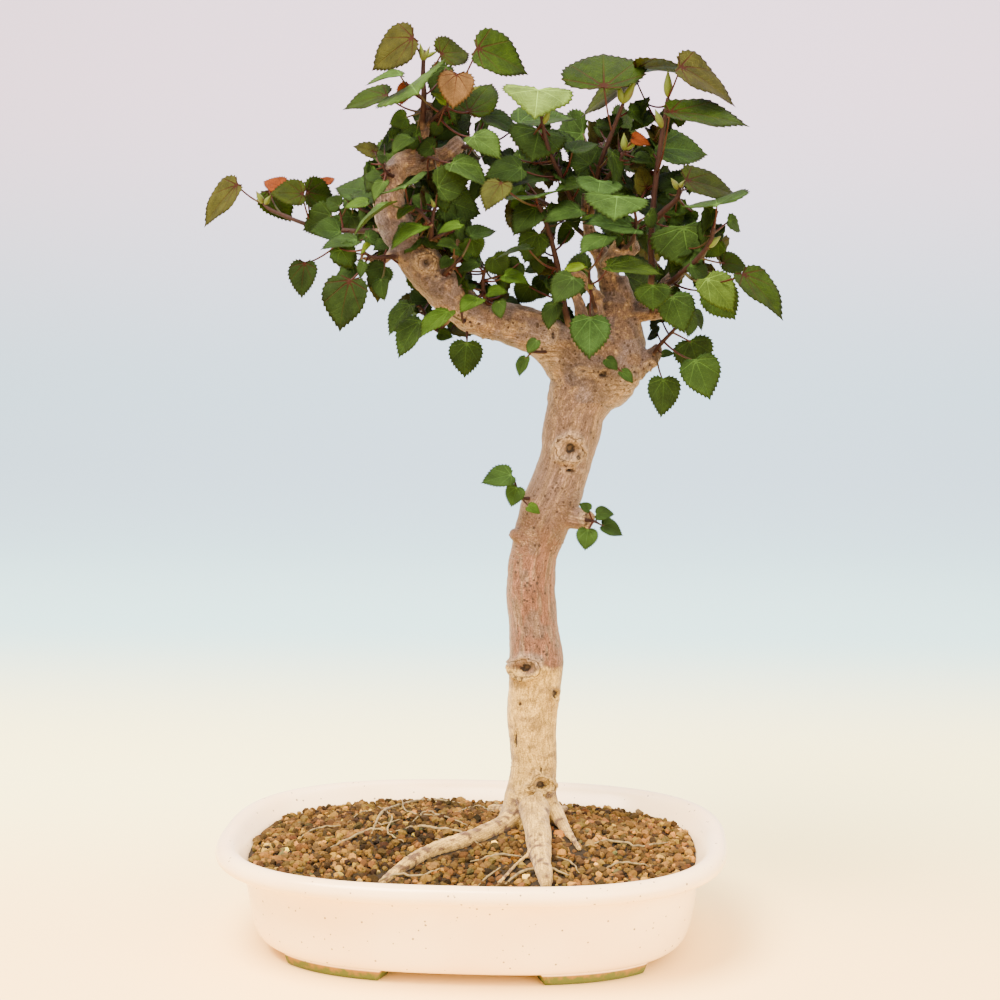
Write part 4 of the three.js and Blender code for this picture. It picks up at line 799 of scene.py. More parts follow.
def mound(x, y):
    """Height of the soil's surface: with r the share of the way out to the edge of the oval, found by halving
    an interval, it is the edge's height + rise * the smaller of 1 and shoulder * (1 - r) ** power."""
    low, high = np.zeros(np.shape(x)), np.full(np.shape(x), FARTHEST_SHARE)
    for _ in range(HALVINGS):
        r = (low + high) / 2
        outside = (np.abs(x) / (BED_LENGTH_RISE + BED_REACH * r)) ** POT_SQUARENESS \
            + (np.abs(y) / (BED_REACH * r)) ** POT_SQUARENESS > 1
        low, high = np.where(outside, r, low), np.where(outside, high, r)
    return BED_EDGE_HEIGHT + BED_RISE * np.minimum(1, MOUND_SHOULDER * np.clip(1 - low, 0, 1) ** MOUND_POWER)


rng = np.random.default_rng(41)
bed_turns = even_turns(BED_SIDES)
bed_out = np.linspace(1, BED_CORE, BED_STEPS)[:, None]
bed_x, bed_y = oval(bed_turns[None, :], BED_INSET - BED_REACH * bed_out)
bed_z = mound(bed_x, bed_y) - BED_SINK
bed_lumps = noise(np.stack([bed_x, bed_y, bed_z], axis=-1).reshape(-1, 3) / BED_LUMP_SIZE, 31)
bed_z += BED_LUMP_RISE * (bed_lumps.reshape(bed_z.shape) - 0.5)
bed_top = np.stack([bed_x, bed_y, bed_z], axis=-1)
side = np.array(BED_SIDE)
side_x, side_y = oval(bed_turns[None, :], side[:, :1])
bed_side = np.stack([side_x, side_y, np.broadcast_to(side[:, 1:], side_x.shape)], axis=-1)
bed_points, bed_faces = capped_bars([np.concatenate([bed_side, bed_top])])

# Each granule is a cube of 26 points pushed out to a lump, squashed, turned and roughened at random
corners = np.array([c for c in np.ndindex(3, 3, 3) if c != (1, 1, 1)]) - 1.0
lump_number = {tuple(c): k for k, c in enumerate(corners.astype(int))}
lump_faces = []
for axis in range(3):
    u, v = [k for k in range(3) if k != axis]
    for face_side in (-1, 1):
        for i in (-1, 0):
            for j in (-1, 0):
                quad = []
                for di, dj in [(0, 0), (1, 0), (1, 1), (0, 1)]:
                    place = [0, 0, 0]
                    place[axis], place[u], place[v] = face_side, i + di, j + dj
                    quad.append(lump_number[tuple(place)])
                lump_faces.append(quad if face_side * (1 if axis != 1 else -1) > 0 else quad[::-1])
lump_faces = np.array(lump_faces)
lump = ROUNDNESS * unit(corners) + (1 - ROUNDNESS) * corners
row_spacing = GRANULE_SPACING * GRANULE_ROW_SHARE
grid_x, grid_y = np.meshgrid(np.arange(-GRANULE_REACH_X, GRANULE_REACH_X + 1, GRANULE_SPACING),
                             np.arange(-GRANULE_REACH_Y, GRANULE_REACH_Y + 1, row_spacing))
grid_x = grid_x + GRANULE_SPACING / 2 * (np.arange(len(grid_x)) % 2)[:, None]
centres = np.stack([grid_x.ravel(), grid_y.ravel()], axis=1)
centres += rng.uniform(-GRANULE_SHIFT, GRANULE_SHIFT, centres.shape) * GRANULE_SPACING
surface = mound(centres[:, 0], centres[:, 1])
centres = np.column_stack([centres, surface - GRANULE_SINK + rng.uniform(-0.8, 0.9, len(centres))])
edge_x = np.abs(centres[:, 0]) / (BED_LENGTH_RISE + BED_REACH)
edge_y = np.abs(centres[:, 1]) / BED_REACH
within = (edge_x ** POT_SQUARENESS + edge_y ** POT_SQUARENESS) < GRANULE_LIMIT
gap = (np.linalg.norm(centres[:, None] - spine[None], axis=2) - spine_radius[None]).min(axis=1)
centres[:, 2] -= ROOT_SINK * (1 - ramp(gap, 0, ROOT_GAP))
centres = centres[within & (gap > -0.2)]
count = len(centres)
size = rng.uniform(GRANULE_SMALLEST, GRANULE_LARGEST, (count, 1)) * rng.uniform(*GRANULE_SQUASH, (count, 3))
size *= 1 + GRANULE_SWELL * (rng.random((count, 1)) > SWELL_OVER)
w, x, y, z = unit(rng.normal(size=(count, 4))).T
spin = np.stack([
    1 - 2 * (y * y + z * z), 2 * (x * y - w * z), 2 * (x * z + w * y),
    2 * (x * y + w * z), 1 - 2 * (x * x + z * z), 2 * (y * z - w * x),
    2 * (x * z - w * y), 2 * (y * z + w * x), 1 - 2 * (x * x + y * y),
], axis=-1).reshape(-1, 3, 3)
rough_lump = lump[None] * size[:, None] * rng.uniform(*GRANULE_ROUGHNESS, (count, len(lump), 1))
granule_points = centres[:, None] + np.einsum("nij,nkj->nki", spin, rough_lump)
granule_faces = lump_faces[None] + (np.arange(count) * len(lump))[:, None, None]
palette = np.array([hex_colour(code) for code in GRANULE_COLOURS])
granule_colour = palette[rng.choice(len(palette), count, p=GRANULE_SHARES)]
granule_colour[:, :3] *= rng.uniform(*GRANULE_LIGHT, (count, 1)) * rng.uniform(*GRANULE_HUE, (count, 3))
damp = ramp(noise(centres / DAMP_SIZE, 32), 0.32, 0.58)
damp *= np.exp(-((centres[:, 0] - DAMP_X) / DAMP_REACH) ** 2)
granule_colour[:, :3] *= 1 - damp[:, None] * DAMPNESS

# Dry baked clay: matt, dusty and grainy
GRIT_SIZE = 0.7692
clay_grains, tree, shader = new_material("dry_baked_clay_grit")
place = add_node(tree, "TexCoord").outputs["Object"]
base = add_node(tree, "Attribute", attribute_name="granule").outputs["Color"]
grit = add_node(tree, "TexNoise", {"Vector": place, "Scale": 1000 / GRIT_SIZE,
                                   "Detail": 4.0, "Roughness": 0.7}).outputs["Fac"]
grit_light = add_node(tree, "MapRange", {"Value": grit, 1: 0.3, 2: 0.7, 3: 0.7, 4: 1.3}).outputs[0]
colour = add_node(tree, "VectorMath", {0: base, "Scale": grit_light}, operation="SCALE").outputs[0]
tree.links.new(colour, shader.inputs["Base Color"])
relief = add_node(tree, "Bump", {"Height": grit, "Strength": 0.6, "Distance": 0.0005})
tree.links.new(relief.outputs[0], shader.inputs["Normal"])
shader.inputs["Roughness"].default_value = 0.95
shader.inputs["Specular IOR Level"].default_value = 0.15

bed_mesh = smooth_mesh("soil_bed", bed_points * MM, bed_faces)
# The bed's colour is damp soil and painted shade in the gaps between the granules
store(bed_mesh, "granule", "FLOAT_COLOR", np.broadcast_to(hex_colour(DAMP_BED_AND_GAP_SHADE), (len(bed_points), 4)))
bed = add_piece("soil_bed", bed_mesh, [clay_grains])
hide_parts("soil")
granule_faces = granule_faces.reshape(-1, 4)
granule_mesh = smooth_mesh("clay_granules", granule_points.reshape(-1, 3) * MM, [granule_faces])
granule_mesh.polygons.foreach_set("use_smooth", np.zeros(len(granule_mesh.polygons), bool))
store(granule_mesh, "granule", "FLOAT_COLOR", np.repeat(granule_colour, len(lump), axis=0))
add_piece("clay_granules", granule_mesh, [clay_grains])

# The fine roots
# Pale dry feeder roots, a millimetre thick, that came loose from the heap and lie bare on top of it.
# They grow from the thick roots and dip in and out of the granules.

# [radius, places (right, down) on the sheet]
FINE_ROOTS = [
    (0.8, [(372, 833), (380, 815), (400, 805), (430, 799), (460, 803)]),
    (0.6, [(330, 848), (350, 838), (372, 829), (392, 832)]),
    (0.7, [(395, 832), (415, 827), (450, 830), (478, 838)]),
    (0.6, [(470, 862), (500, 855), (522, 858)]),
    (0.7, [(505, 884), (522, 872), (546, 868), (570, 874)]),
    (0.6, [(585, 846), (610, 840), (640, 846), (668, 842)]),
    (0.5, [(600, 870), (624, 862), (650, 866)]),
    (0.5, [(300, 838), (318, 828), (340, 826)]),
    (0.6, [(440, 868), (420, 876), (396, 874), (380, 880)]),
    (0.45, [(378, 806), (392, 818), (388, 832), (404, 842)]),
    (0.4, [(402, 800), (410, 812), (428, 816), (446, 812)]),
    (0.45, [(412, 822), (426, 812), (448, 818), (470, 826)]),
    (0.4, [(348, 822), (364, 812), (384, 824), (400, 820)]),
    (0.4, [(430, 836), (446, 842), (464, 836), (482, 846)]),
    (0.35, [(458, 812), (476, 806), (494, 812)]),
    (0.45, [(500, 868), (488, 876), (478, 886)]),
    (0.4, [(556, 858), (570, 862), (580, 872)]),
]
FINE_ROOT_LIFT = 0.9
LAYING_ROUNDS = 30
LAYING_STRIDE = 2.5
FINE_ROOT_STEPS = 40
FINE_ROOT_SIDES = 8
# Size of their bends, how far they bend, and how much more of it goes up and down
BEND_SIZE = 2.5
BEND_REACH = 0.8
BEND_SHARES = [1, 1, 1.6]


def laid_on_soil(places, lift):
    """Where the rays through places (right, down) on the sheet meet the soil's surface raised by lift."""
    depth = np.zeros(len(places))
    for _ in range(LAYING_ROUNDS):
        hit = seen(np.column_stack([places, depth]))
        depth += LAYING_STRIDE * (hit[:, 2] - mound(hit[:, 0], hit[:, 1]) - lift)
    return seen(np.column_stack([places, depth]))


root_bars = []
for radius, places in FINE_ROOTS:
    path = smooth_path(laid_on_soil(np.array(places, float), FINE_ROOT_LIFT), FINE_ROOT_STEPS)
    path += BEND_REACH * (noise(path / BEND_SIZE, 51)[:, None] - 0.5) * BEND_SHARES
    taper = radius * (1.1 - 0.6 * np.linspace(-1, 1, FINE_ROOT_STEPS) ** 2)
    root_bars.append(tube(path, taper, FINE_ROOT_SIDES))
root_points, root_faces = capped_bars(root_bars)

# Dried root skin: fibrous, dull and cream, with brown soil rubbed into it
ROOT_CREAM = "#7A6C44"
ROOT_SOIL = "#3E3527"
ROOT_SOIL_SIZE = 2.381
root_skin, tree, shader = new_material("dry_cream_root_skin")
place = add_node(tree, "TexCoord").outputs["Object"]
soiled = add_node(tree, "TexNoise", {"Vector": place, "Scale": 1000 / ROOT_SOIL_SIZE,
                                     "Detail": 4.0}).outputs["Fac"]
share = add_node(tree, "MapRange", {"Value": soiled, 1: 0.4, 2: 0.7, 3: 0.0, 4: 1.0}).outputs[0]
colour = add_node(tree, "Mix", {0: share, 6: hex_colour(ROOT_CREAM), 7: hex_colour(ROOT_SOIL)},
                  data_type="RGBA").outputs[2]
tree.links.new(colour, shader.inputs["Base Color"])
shader.inputs["Roughness"].default_value = 0.85
add_piece("fine_roots", smooth_mesh("fine_roots", root_points * MM, root_faces), [root_skin])

# The leafy shoots
# Live twigs with finely toothed leaves, slightly notched where each joins its own red-brown stalk.
# New twigs sprout from old wood after pruning, and their leaves turn to the light and overlap like tiles.

# Each shoot has stems as (radius, places on the sheet), and leaves as (notch right, down, depth, tip right,
# tip down, how much deeper the tip lies, width on the sheet, stalk foot right, down, tone). A negative width
# shows the underside.
SHOOTS = {
    "shoot_left_tip": ([
        (1.3, [
            (390, 232, 4), (372, 231, 9), (350, 231, 18), (313, 226, 34), (285, 216, 46),
            (268, 208, 54), (258, 197, 58),
        ]),
    ], [
        (238, 184, 60, 197, 221, 0, 25, 262, 205, "o"), (268, 190, 62, 292, 219, -4, 34, 284, 214, "f"),
        (304, 194, 26, 270, 190, -4, 25, 313, 224, "e"), (306, 192, 36, 338, 197, 8, 32, 313, 224, "f"),
        (332, 215, 28, 300, 229, 2, 32, 348, 230, "d"), (341, 232, 10, 313, 227, -8, 22, 350, 232, "d"),
        (357, 240, -6, 320, 243, -6, 14, 372, 232, "d"), (305, 262, 20, 298, 297, -4, 27, 350, 232, "h"),
        (283, 188, 50, 263, 177, 4, 19, 262, 200, "r"), (340, 206, 20, 325, 198, 2, 18, 344, 229, "d"),
        (322, 184, 50, 334, 175, 4, 10, 313, 224, "r"),
    ]),
    "shoot_left_low": ([
        (1.1, [(402, 256, 2), (385, 257, -14), (372, 257, -17), (361, 250, -20)]),
    ], [
        (350, 279, -24, 335, 329, -6, 44, 368, 257, "h"), (364, 262, -24, 357, 279, 0, 10, 368, 257, "m"),
        (381, 279, -24, 381, 300, -4, 16, 385, 257, "d"), (362, 250, -22, 369, 243, -4, 6, 361, 250, "y"),
        (385, 266, -16, 369, 287, -4, 26, 385, 257, "d"),
    ]),
    "shoot_left_upper": ([
        (1.1, [(394, 214, 4), (378, 213, 14), (366, 211, 20), (352, 203, 28), (345, 198, 30)]),
    ], [
        (374, 192, 30, 333, 182, 8, 32, 366, 211, "d"), (378, 200, 18, 350, 188, 6, 20, 378, 213, "d"),
        (368, 202, 10, 343, 204, -2, 9, 378, 213, "b"),
    ]),
    "shoot_left_nub": ([
        (0.9, [(397, 178, 4), (386, 172, -5), (383, 164, -7)]),
    ], [
        (382, 176, -4, 362, 173, 4, 16, 386, 172, "d"), (384, 181, -10, 371, 199, -4, 12, 386, 172, "g"),
        (385, 161, -8, 377, 155, 0, 9, 383, 164, "d"),
    ]),
    "shoot_top_left": ([
        (1.5, [(421, 134, 7), (423, 112, -1), (424, 95, -3), (423, 75, -3), (424, 50, -3)]),
    ], [
        (414, 37, -2, 367, 65, 4, 35, 423, 62, "o"), (440, 54, -8, 473, 48, 10, 31, 425, 80, "e"),
        (447, 66, 8, 428, 97, 0, 24, 424, 95, "d"), (402, 75, -14, 364, 77, 0, 7, 423, 100, "g"),
        (388, 95, 4, 340, 101, 4, 19, 423, 112, "f"), (409, 84, -5, 398, 104, -2, 16, 423, 100, "r"),
        (407, 117, -6, 390, 124, -4, 19, 423, 112, "m"),
    ]),
    "shoot_head_left": ([
        (0.9, [(415, 152, 8), (406, 141, 6), (402, 136, 4)]),
    ], [
        (404, 133, 12, 374, 146, 6, 20, 403, 138, "d"), (411, 137, -4, 390, 149, -6, 13, 405, 140, "g"),
    ]),
    "shoot_top_mid": ([
        (1.2, [(426, 127, 7), (438, 115, -5), (446, 106, -10), (447, 100, -12)]),
    ], [
        (411, 84, -10, 413, 87, -20, 80, 440, 112, "g"), (457, 73, -18, 453, 107, -6, 36, 446, 106, "w"),
        (476, 48, -8, 533, 66, 4, 40, 446, 106, "f"), (468, 113, 2, 491, 76, 12, 42, 446, 106, "f"),
        (472, 136, -22, 503, 152, -8, 22, 438, 116, "g"), (446, 102, -14, 433, 91, -2, 10, 446, 106, "y"),
    ]),
    "shoot_head": ([
        (1.1, [(456, 145, 5), (468, 147, 0), (478, 143, -2)]),
    ], [
        (484, 115, 6, 522, 128, -2, 18, 472, 145, "m"), (470, 121, 14, 441, 133, 4, 18, 468, 147, "d"),
        (470, 112, 28, 443, 111, 4, 12, 468, 147, "d"), (517, 123, 20, 575, 107, 6, 24, 476, 143, "m"),
        (500, 149, 12, 483, 154, 0, 10, 478, 143, "k"),
    ]),
    "shoot_head_front": ([
        (0.9, [(420, 162, 6), (428, 157, -8), (440, 161, -13)]),
    ], [
        (452, 162, -14, 492, 181, -6, 24, 440, 161, "g"), (484, 178, -2, 470, 199, -4, 17, 440, 161, "d"),
    ]),
    "shoot_mid": ([
        (1.2, [(420, 254, 3), (431, 238, -11), (432, 222, -15), (435, 206, -15)]),
        (0.9, [(432, 226, -15), (420, 212, -15), (408, 204, -13)]),
        (0.9, [(430, 240, -10), (440, 236, -15), (452, 230, -17)]),
    ], [
        (405, 187, -32, 401, 178, 20, 50, 408, 204, "m"), (437, 187, -18, 472, 175, 2, 36, 435, 206, "d"),
        (423, 226, -24, 388, 241, -10, 14, 432, 222, "b"), (442, 200, -2, 484, 213, 6, 42, 435, 206, "d"),
        (392, 203, -26, 345, 228, -6, 3, 408, 204, "g"), (428, 205, -6, 412, 193, 2, 17, 435, 206, "m"),
        (410, 206, -18, 396, 217, -6, 10, 408, 204, "b"), (460, 224, -22, 436, 230, -4, 9, 452, 230, "b"),
    ]),
    "shoot_mid_right": ([
        (1, [(438, 280, 2), (450, 268, -12), (462, 257, -13)]),
    ], [
        (470, 236, -12, 496, 225, 4, 16, 462, 257, "d"), (470, 238, -8, 477, 259, 0, 26, 462, 257, "m"),
        (456, 245, -18, 438, 241, -6, 9, 455, 264, "g"), (450, 258, -14, 440, 267, -4, 12, 455, 264, "d"),
    ]),
    "shoot_branch_top": ([
        (1.2, [(496, 314, 8), (485, 298, -2), (483, 280, -5), (486, 266, -7)]),
    ], [
        (477, 262, -12, 457, 270, -4, 12, 484, 272, "d"), (474, 288, -6, 461, 284, 2, 7, 484, 290, "b"),
        (480, 290, 6, 471, 279, 4, 10, 484, 290, "d"), (488, 292, -12, 507, 289, -4, 11, 484, 294, "b"),
        (499, 301, -16, 499, 318, -4, 14, 488, 300, "m"), (493, 256, -8, 507, 277, 2, 26, 484, 272, "k"),
        (479, 298, -14, 459, 307, -8, 13, 484, 292, "b"), (504, 275, -16, 529, 279, -4, 14, 484, 280, "b"),
        (520, 262, -6, 505, 280, 4, 22, 484, 280, "d"), (488, 283, 6, 478, 297, 2, 14, 484, 284, "d"),
    ]),
    "shoot_centre": ([
        (1.5, [
            (572, 340, 10), (565, 308, 0), (558, 268, -3), (550, 236, -7), (541, 210, -11),
            (537, 204, -13),
        ]),
    ], [
        (536, 198, -18, 534, 187, 26, -60, 538, 206, "m"), (502, 182, -32, 483, 207, -8, 26, 538, 206, "c"),
        (537, 207, -8, 511, 232, -6, 28, 541, 212, "k"), (538, 233, -6, 523, 262, -2, 30, 549, 236, "d"),
        (530, 248, -20, 493, 253, -4, 6, 560, 268, "d"), (574, 277, -22, 552, 301, -8, 30, 562, 290, "d"),
        (530, 285, 8, 517, 305, 4, 26, 564, 300, "k"), (545, 280, 12, 533, 300, 4, 22, 562, 290, "d"),
        (527, 197, 6, 508, 206, 0, 16, 541, 212, "b"), (556, 303, -18, 544, 328, -4, 17, 563, 300, "d"),
        (572, 228, 2, 553, 243, 4, 18, 556, 250, "m"), (546, 264, 4, 522, 268, 4, 14, 558, 270, "d"),
    ]),
    "shoot_upper_left": ([
        (1.3, [
            (587, 214, 15), (574, 203, 8), (562, 178, 1), (553, 160, -3), (546, 140, -5),
            (541, 114, -7),
        ]),
    ], [
        (538, 89, -10, 536, 107, -28, 68, 541, 114, "p"), (539, 129, 2, 533, 157, -12, 56, 547, 142, "k"),
        (544, 177, 0, 506, 180, -6, 14, 562, 180, "d"), (571, 151, -12, 599, 138, 6, 16, 562, 178, "d"),
        (583, 183, -2, 554, 186, -4, 14, 572, 200, "g"), (522, 168, -4, 484, 172, -6, 26, 560, 176, "d"),
        (581, 210, -16, 543, 214, -6, 17, 578, 206, "m"), (552, 150, 10, 560, 173, 2, 14, 556, 168, "k"),
        (552, 158, 16, 526, 166, 4, 24, 556, 168, "c"), (512, 155, 8, 487, 161, 4, 12, 553, 160, "d"),
        (600, 219, -8, 573, 217, 0, 8, 584, 211, "b"),
    ]),
    "shoot_upper_right": ([
        (1.4, [(590, 228, 16), (594, 196, 6), (600, 165, 0), (611, 135, -4), (623, 104, -8)]),
        (1, [(595, 190, 5), (607, 178, 1), (618, 163, -5), (625, 150, -8)]),
    ], [
        (604, 88, -14, 603, 42, 26, 82, 612, 132, "f"), (635, 68, -4, 708, 67, 4, -15, 623, 104, "o"),
        (619, 128, 10, 591, 124, 6, 22, 620, 160, "d"), (590, 165, -2, 568, 146, 6, 28, 598, 180, "d"),
        (600, 180, 12, 594, 156, 8, 20, 598, 185, "k"), (612, 152, -12, 622, 200, -2, 14, 600, 168, "d"),
        (600, 181, -16, 598, 192, -22, 46, 596, 195, "t"), (655, 148, 10, 711, 146, 6, 38, 620, 160, "m"),
        (632, 138, -12, 652, 142, 0, 12, 625, 150, "r"), (622, 128, 20, 612, 150, 2, 24, 618, 163, "o"),
        (618, 200, 8, 637, 186, 6, 22, 596, 192, "g"),
    ]),
    "shoot_right_top": ([
        (1.6, [
            (646, 305, 13), (652, 275, 4), (651, 250, 1), (653, 210, -2), (657, 170, -6),
            (663, 130, -10), (668, 98, -12),
        ]),
        (1.5, [(653, 222, -1), (664, 211, -6), (678, 197, -12), (679, 187, -14)]),
    ], [
        (679, 66, -22, 743, 96, 4, 30, 670, 98, "o"), (668, 112, -32, 751, 113, -4, 21, 657, 175, "f"),
        (638, 80, 14, 573, 107, 10, 22, 662, 128, "e"), (685, 180, -14, 743, 189, 4, 28, 679, 190, "e"),
        (682, 188, 2, 657, 170, 8, 28, 676, 198, "d"), (683, 226, -8, 690, 269, -6, 68, 654, 222, "d"),
        (657, 216, 10, 640, 193, 8, 24, 653, 218, "d"),
    ]),
    "shoot_right": ([
        (1.4, [
            (664, 287, 11), (672, 281, 0), (683, 272, -12), (700, 256, -22), (711, 240, -28),
            (714, 226, -30),
        ]),
    ], [
        (717, 205, -40, 714, 190, 22, 66, 713, 228, "m"), (742, 273, -52, 790, 312, -8, 27, 684, 272, "f"),
        (706, 278, -38, 737, 308, -8, 34, 684, 272, "q"), (712, 287, -26, 736, 319, -4, 38, 672, 283, "m"),
        (718, 240, -20, 705, 260, 4, 24, 708, 246, "m"), (722, 263, -16, 750, 264, 2, 22, 700, 258, "f"),
        (690, 265, -20, 713, 280, 2, 20, 690, 266, "d"),
    ]),
    "shoot_right_front": ([
        (1.1, [(650, 316, 7), (656, 300, -8), (664, 290, -14)]),
    ], [
        (672, 296, -16, 686, 331, -6, 36, 664, 289, "t"), (690, 314, -2, 691, 337, -4, 14, 664, 289, "d"),
        (694, 311, 6, 706, 329, 0, 10, 664, 289, "d"), (653, 285, -22, 653, 310, -4, 36, 658, 292, "t"),
    ]),
    "shoot_right_low": ([
        (1.1, [(652, 358, 7), (660, 345, -3), (672, 332, -7), (680, 323, -9)]),
    ], [
        (690, 340, -2, 701, 373, 0, 40, 672, 332, "d"), (695, 359, -16, 712, 398, -6, 40, 664, 342, "m"),
        (663, 378, -8, 665, 417, -4, 32, 658, 352, "d"), (662, 354, -8, 674, 352, -2, 8, 658, 350, "d"),
        (658, 332, 18, 644, 336, 6, 13, 662, 342, "k"),
    ]),
    "shoot_fork": ([
        (1, [(597, 314, 7), (592, 298, -7), (590, 284, -11), (589, 270, -13)]),
    ], [
        (607, 266, -24, 663, 265, -6, 18, 590, 284, "q"), (590, 317, -16, 590, 358, -6, 40, 590, 288, "n"),
        (608, 236, -26, 579, 247, -10, 15, 589, 270, "m"), (584, 266, -16, 562, 268, -2, 7, 589, 272, "y"),
    ]),
    "shoot_front_mid": ([
        (1, [(620, 252, 6), (632, 241, -12), (636, 222, -22), (634, 208, -28)]),
    ], [
        (617, 196, -42, 615, 214, -16, 62, 634, 208, "m"), (638, 229, -18, 585, 213, -6, 18, 636, 222, "t"),
    ]),
    "shoot_low_left": ([
        (1, [(452, 316, 10), (440, 328, 18), (430, 326, 22), (424, 312, 24), (419, 305, 24)]),
    ], [
        (411, 304, 25, 384, 331, -4, 19, 420, 306, "m"), (421, 320, 10, 393, 353, -6, 24, 427, 316, "m"),
        (430, 302, 32, 409, 287, 6, 26, 424, 310, "d"), (438, 333, 16, 453, 336, -2, 14, 432, 328, "m"),
    ]),
    "sprout_branch_front": ([
        (0.8, [(466, 318, 4), (463, 322, -14), (461, 308, -18)]),
    ], [
        (449, 311, -20, 417, 331, -8, 17, 463, 321, "b"),
    ]),
    "sprout_branch_low": ([
        (0.8, [(468, 318, 6), (467, 331, 3), (467, 340, 0)]),
    ], [
        (467, 342, -1, 463, 377, -4, 33, 467, 339, "d"),
    ]),
    "sprout_trunk_left": ([
        (0.9, [(536, 498, 10), (521, 497, -2), (514, 480, -4)]),
    ], [
        (512, 475, -4, 481, 479, -4, 22, 514, 480, "m"), (517, 487, -6, 511, 506, -4, 20, 519, 494, "m"),
        (528, 506, -9, 541, 512, -2, 11, 521, 497, "b"),
    ]),
    "sprout_trunk_right": ([
        (0.9, [(582, 520, 1), (593, 521, -7), (598, 523, -9)]),
    ], [
        (596, 514, -7, 614, 512, -2, 14, 596, 521, "d"), (602, 525, -6, 625, 532, 0, 17, 598, 522, "d"),
        (588, 529, -14, 585, 550, -4, 22, 593, 521, "m"), (590, 510, -9, 580, 502, 0, 10, 593, 520, "d"),
    ]),
    "sprout_fork_left": ([
        (0.8, [(550, 352, 6), (536, 352, -13), (531, 352, -15)]),
    ], [
        (537, 340, -15, 526, 352, -2, 12, 533, 351, "m"), (526, 357, -13, 516, 375, -2, 12, 531, 352, "m"),
    ]),
    "sprout_fork_right": ([
        (0.8, [(612, 368, 8), (612, 367, -12), (616, 366, -15)]),
    ], [
        (606, 359, -16, 619, 369, -2, 12, 614, 367, "m"), (621, 371, -15, 635, 381, -2, 11, 616, 367, "m"),
    ]),
}
# Twigs behind the crown: where each begins and ends, as (right, down, depth)
BACK_SHOOTS = {
    "shoot_back_left": ((396, 195, 8), (420, 184, 60)),
    "shoot_back_low": ((424, 262, 6), (424, 250, 54)),
    "shoot_back_middle": ((594, 244, 17), (506, 184, 52)),
    "shoot_back_top": ((586, 198, 15), (604, 140, 66)),
    "shoot_back_right": ((612, 262, 20), (650, 234, 62)),
    "shoot_back_fork": ((617, 310, 18), (594, 300, 64)),
}
# Leaf tones by letter: greens from dark (k, h, f, u, d, e) over middle (m, n, t, l, g, b) to pale and new
# (q, p, y), and olive (o, c), rust red (r) and withered brown (w). Those of RED_VEINED have dark red veins
TONES = {
    "d": "#19290F", "k": "#17260D", "m": "#1F3213", "b": "#293F11", "l": "#243007", "o": "#26280C",
    "q": "#2F4217", "g": "#263A16", "p": "#3C501F", "t": "#233819", "y": "#475D14", "c": "#2A2F12",
    "r": "#4E250D", "n": "#233B1D", "w": "#443421", "u": "#182A0B", "e": "#1B2405", "f": "#172504",
    "h": "#121F09",
}
RED_VEINED = "ocrwuefh"
# Half of the blade's outline: (share of the length from the notch, share of the width from the midrib)
HALF_OUTLINE = [
    (0, 0.02), (-0.035, 0.09), (-0.045, 0.19), (-0.02, 0.32), (0.055, 0.43), (0.17, 0.49), (0.33, 0.5),
    (0.49, 0.455), (0.635, 0.36), (0.755, 0.25), (0.85, 0.14), (0.92, 0.06), (1, 0),
]
GROWN_HALF_STEPS = 30
GROWN_RINGS = [0.16, 0.36, 0.56, 0.76, 0.9, 1.0]
SMALL_HALF_STEPS = 14
SMALL_RINGS = [0.45, 0.8, 1.0]
# Shares of a leaf's length: its width, its hub, how far its sides rise, its tip hangs and its corners twist
BLADE_WIDTH = 0.96
HUB = 0.03
BLADE_CUP = 0.14
MIDRIB_SOFTNESS = 0.04
BLADE_DROOP = 0.2
BLADE_TWIST = 0.05
# Heights of its slow and its quick waves, and of its puffs between the veins
WAVE = 0.022
RIPPLE = 0.012
PUFF = 0.012
# Teeth are coarse on small leaves and fine on large ones, as shares of the lengths 10 and 26
FINE_TOOTH = 0.024
COARSE_TOOTH = 0.05
TOOTH_LENGTHS = [10, 26]
TOOTH_LEAN = 0.7
TOOTH_DIP = 0.35
BLADE_THICKNESS = 0.4
# Its veins are drawn on a blade this wide for its length, and fan out by this angle
BLADE_DRAWN_WIDTH = 0.92
VEIN_FAN = 0.62
# Brightness varies from leaf to leaf
LEAF_LIGHT = (0.85, 1.18)
# The inner leaves: how many for each place of the stems, and where on the sheet they may lie
INNER_LEAF_SHARE = 0.12
INNER_LOWEST = 330
INNER_HIGHEST = 95
INNER_LEFTMOST = 326
# The trunk's head stays clear of inner leaves: middle, highest line and half width on the sheet
WOOD_HEAD = (610, 240, 44)
# Ranges, in rulings, of how far a notch lies off the stem and behind it, and of a leaf's length
INNER_OFF = (8, 26)
INNER_BEHIND = (4, 30)
INNER_LENGTH = (15, 29)
# Spread of the directions in which the leaves hang, in radians
INNER_HANG = 1.1
INNER_TONES = "kddmmo"
BACK_TWIG = 1.2
BACK_LEAF = 44
BACK_TONES = "dmod"
STALK_RADIUS = 0.5
STALK_TAPER = (1.15, 0.8)
STALK_SIDES = 6
STALK_STEPS = 9
LONG_STALK = 14
STALK_SAG = 0.06
STALK_BOW = 0.05
STEM_SIDES = 8
STEM_STEPS = 8
STEM_TAPER = (1.1, 0.62)
STEM_KNOT = 0.12
SHOOT_SEED = 700
GOLDEN_TURN = np.radians(137.5)


def stem_places(stems):
    """Places (right, down, depth) close together along all stems of a shoot."""
    return np.concatenate([smooth_path(np.array(path, float), 24 * len(path)) for _, path in stems])


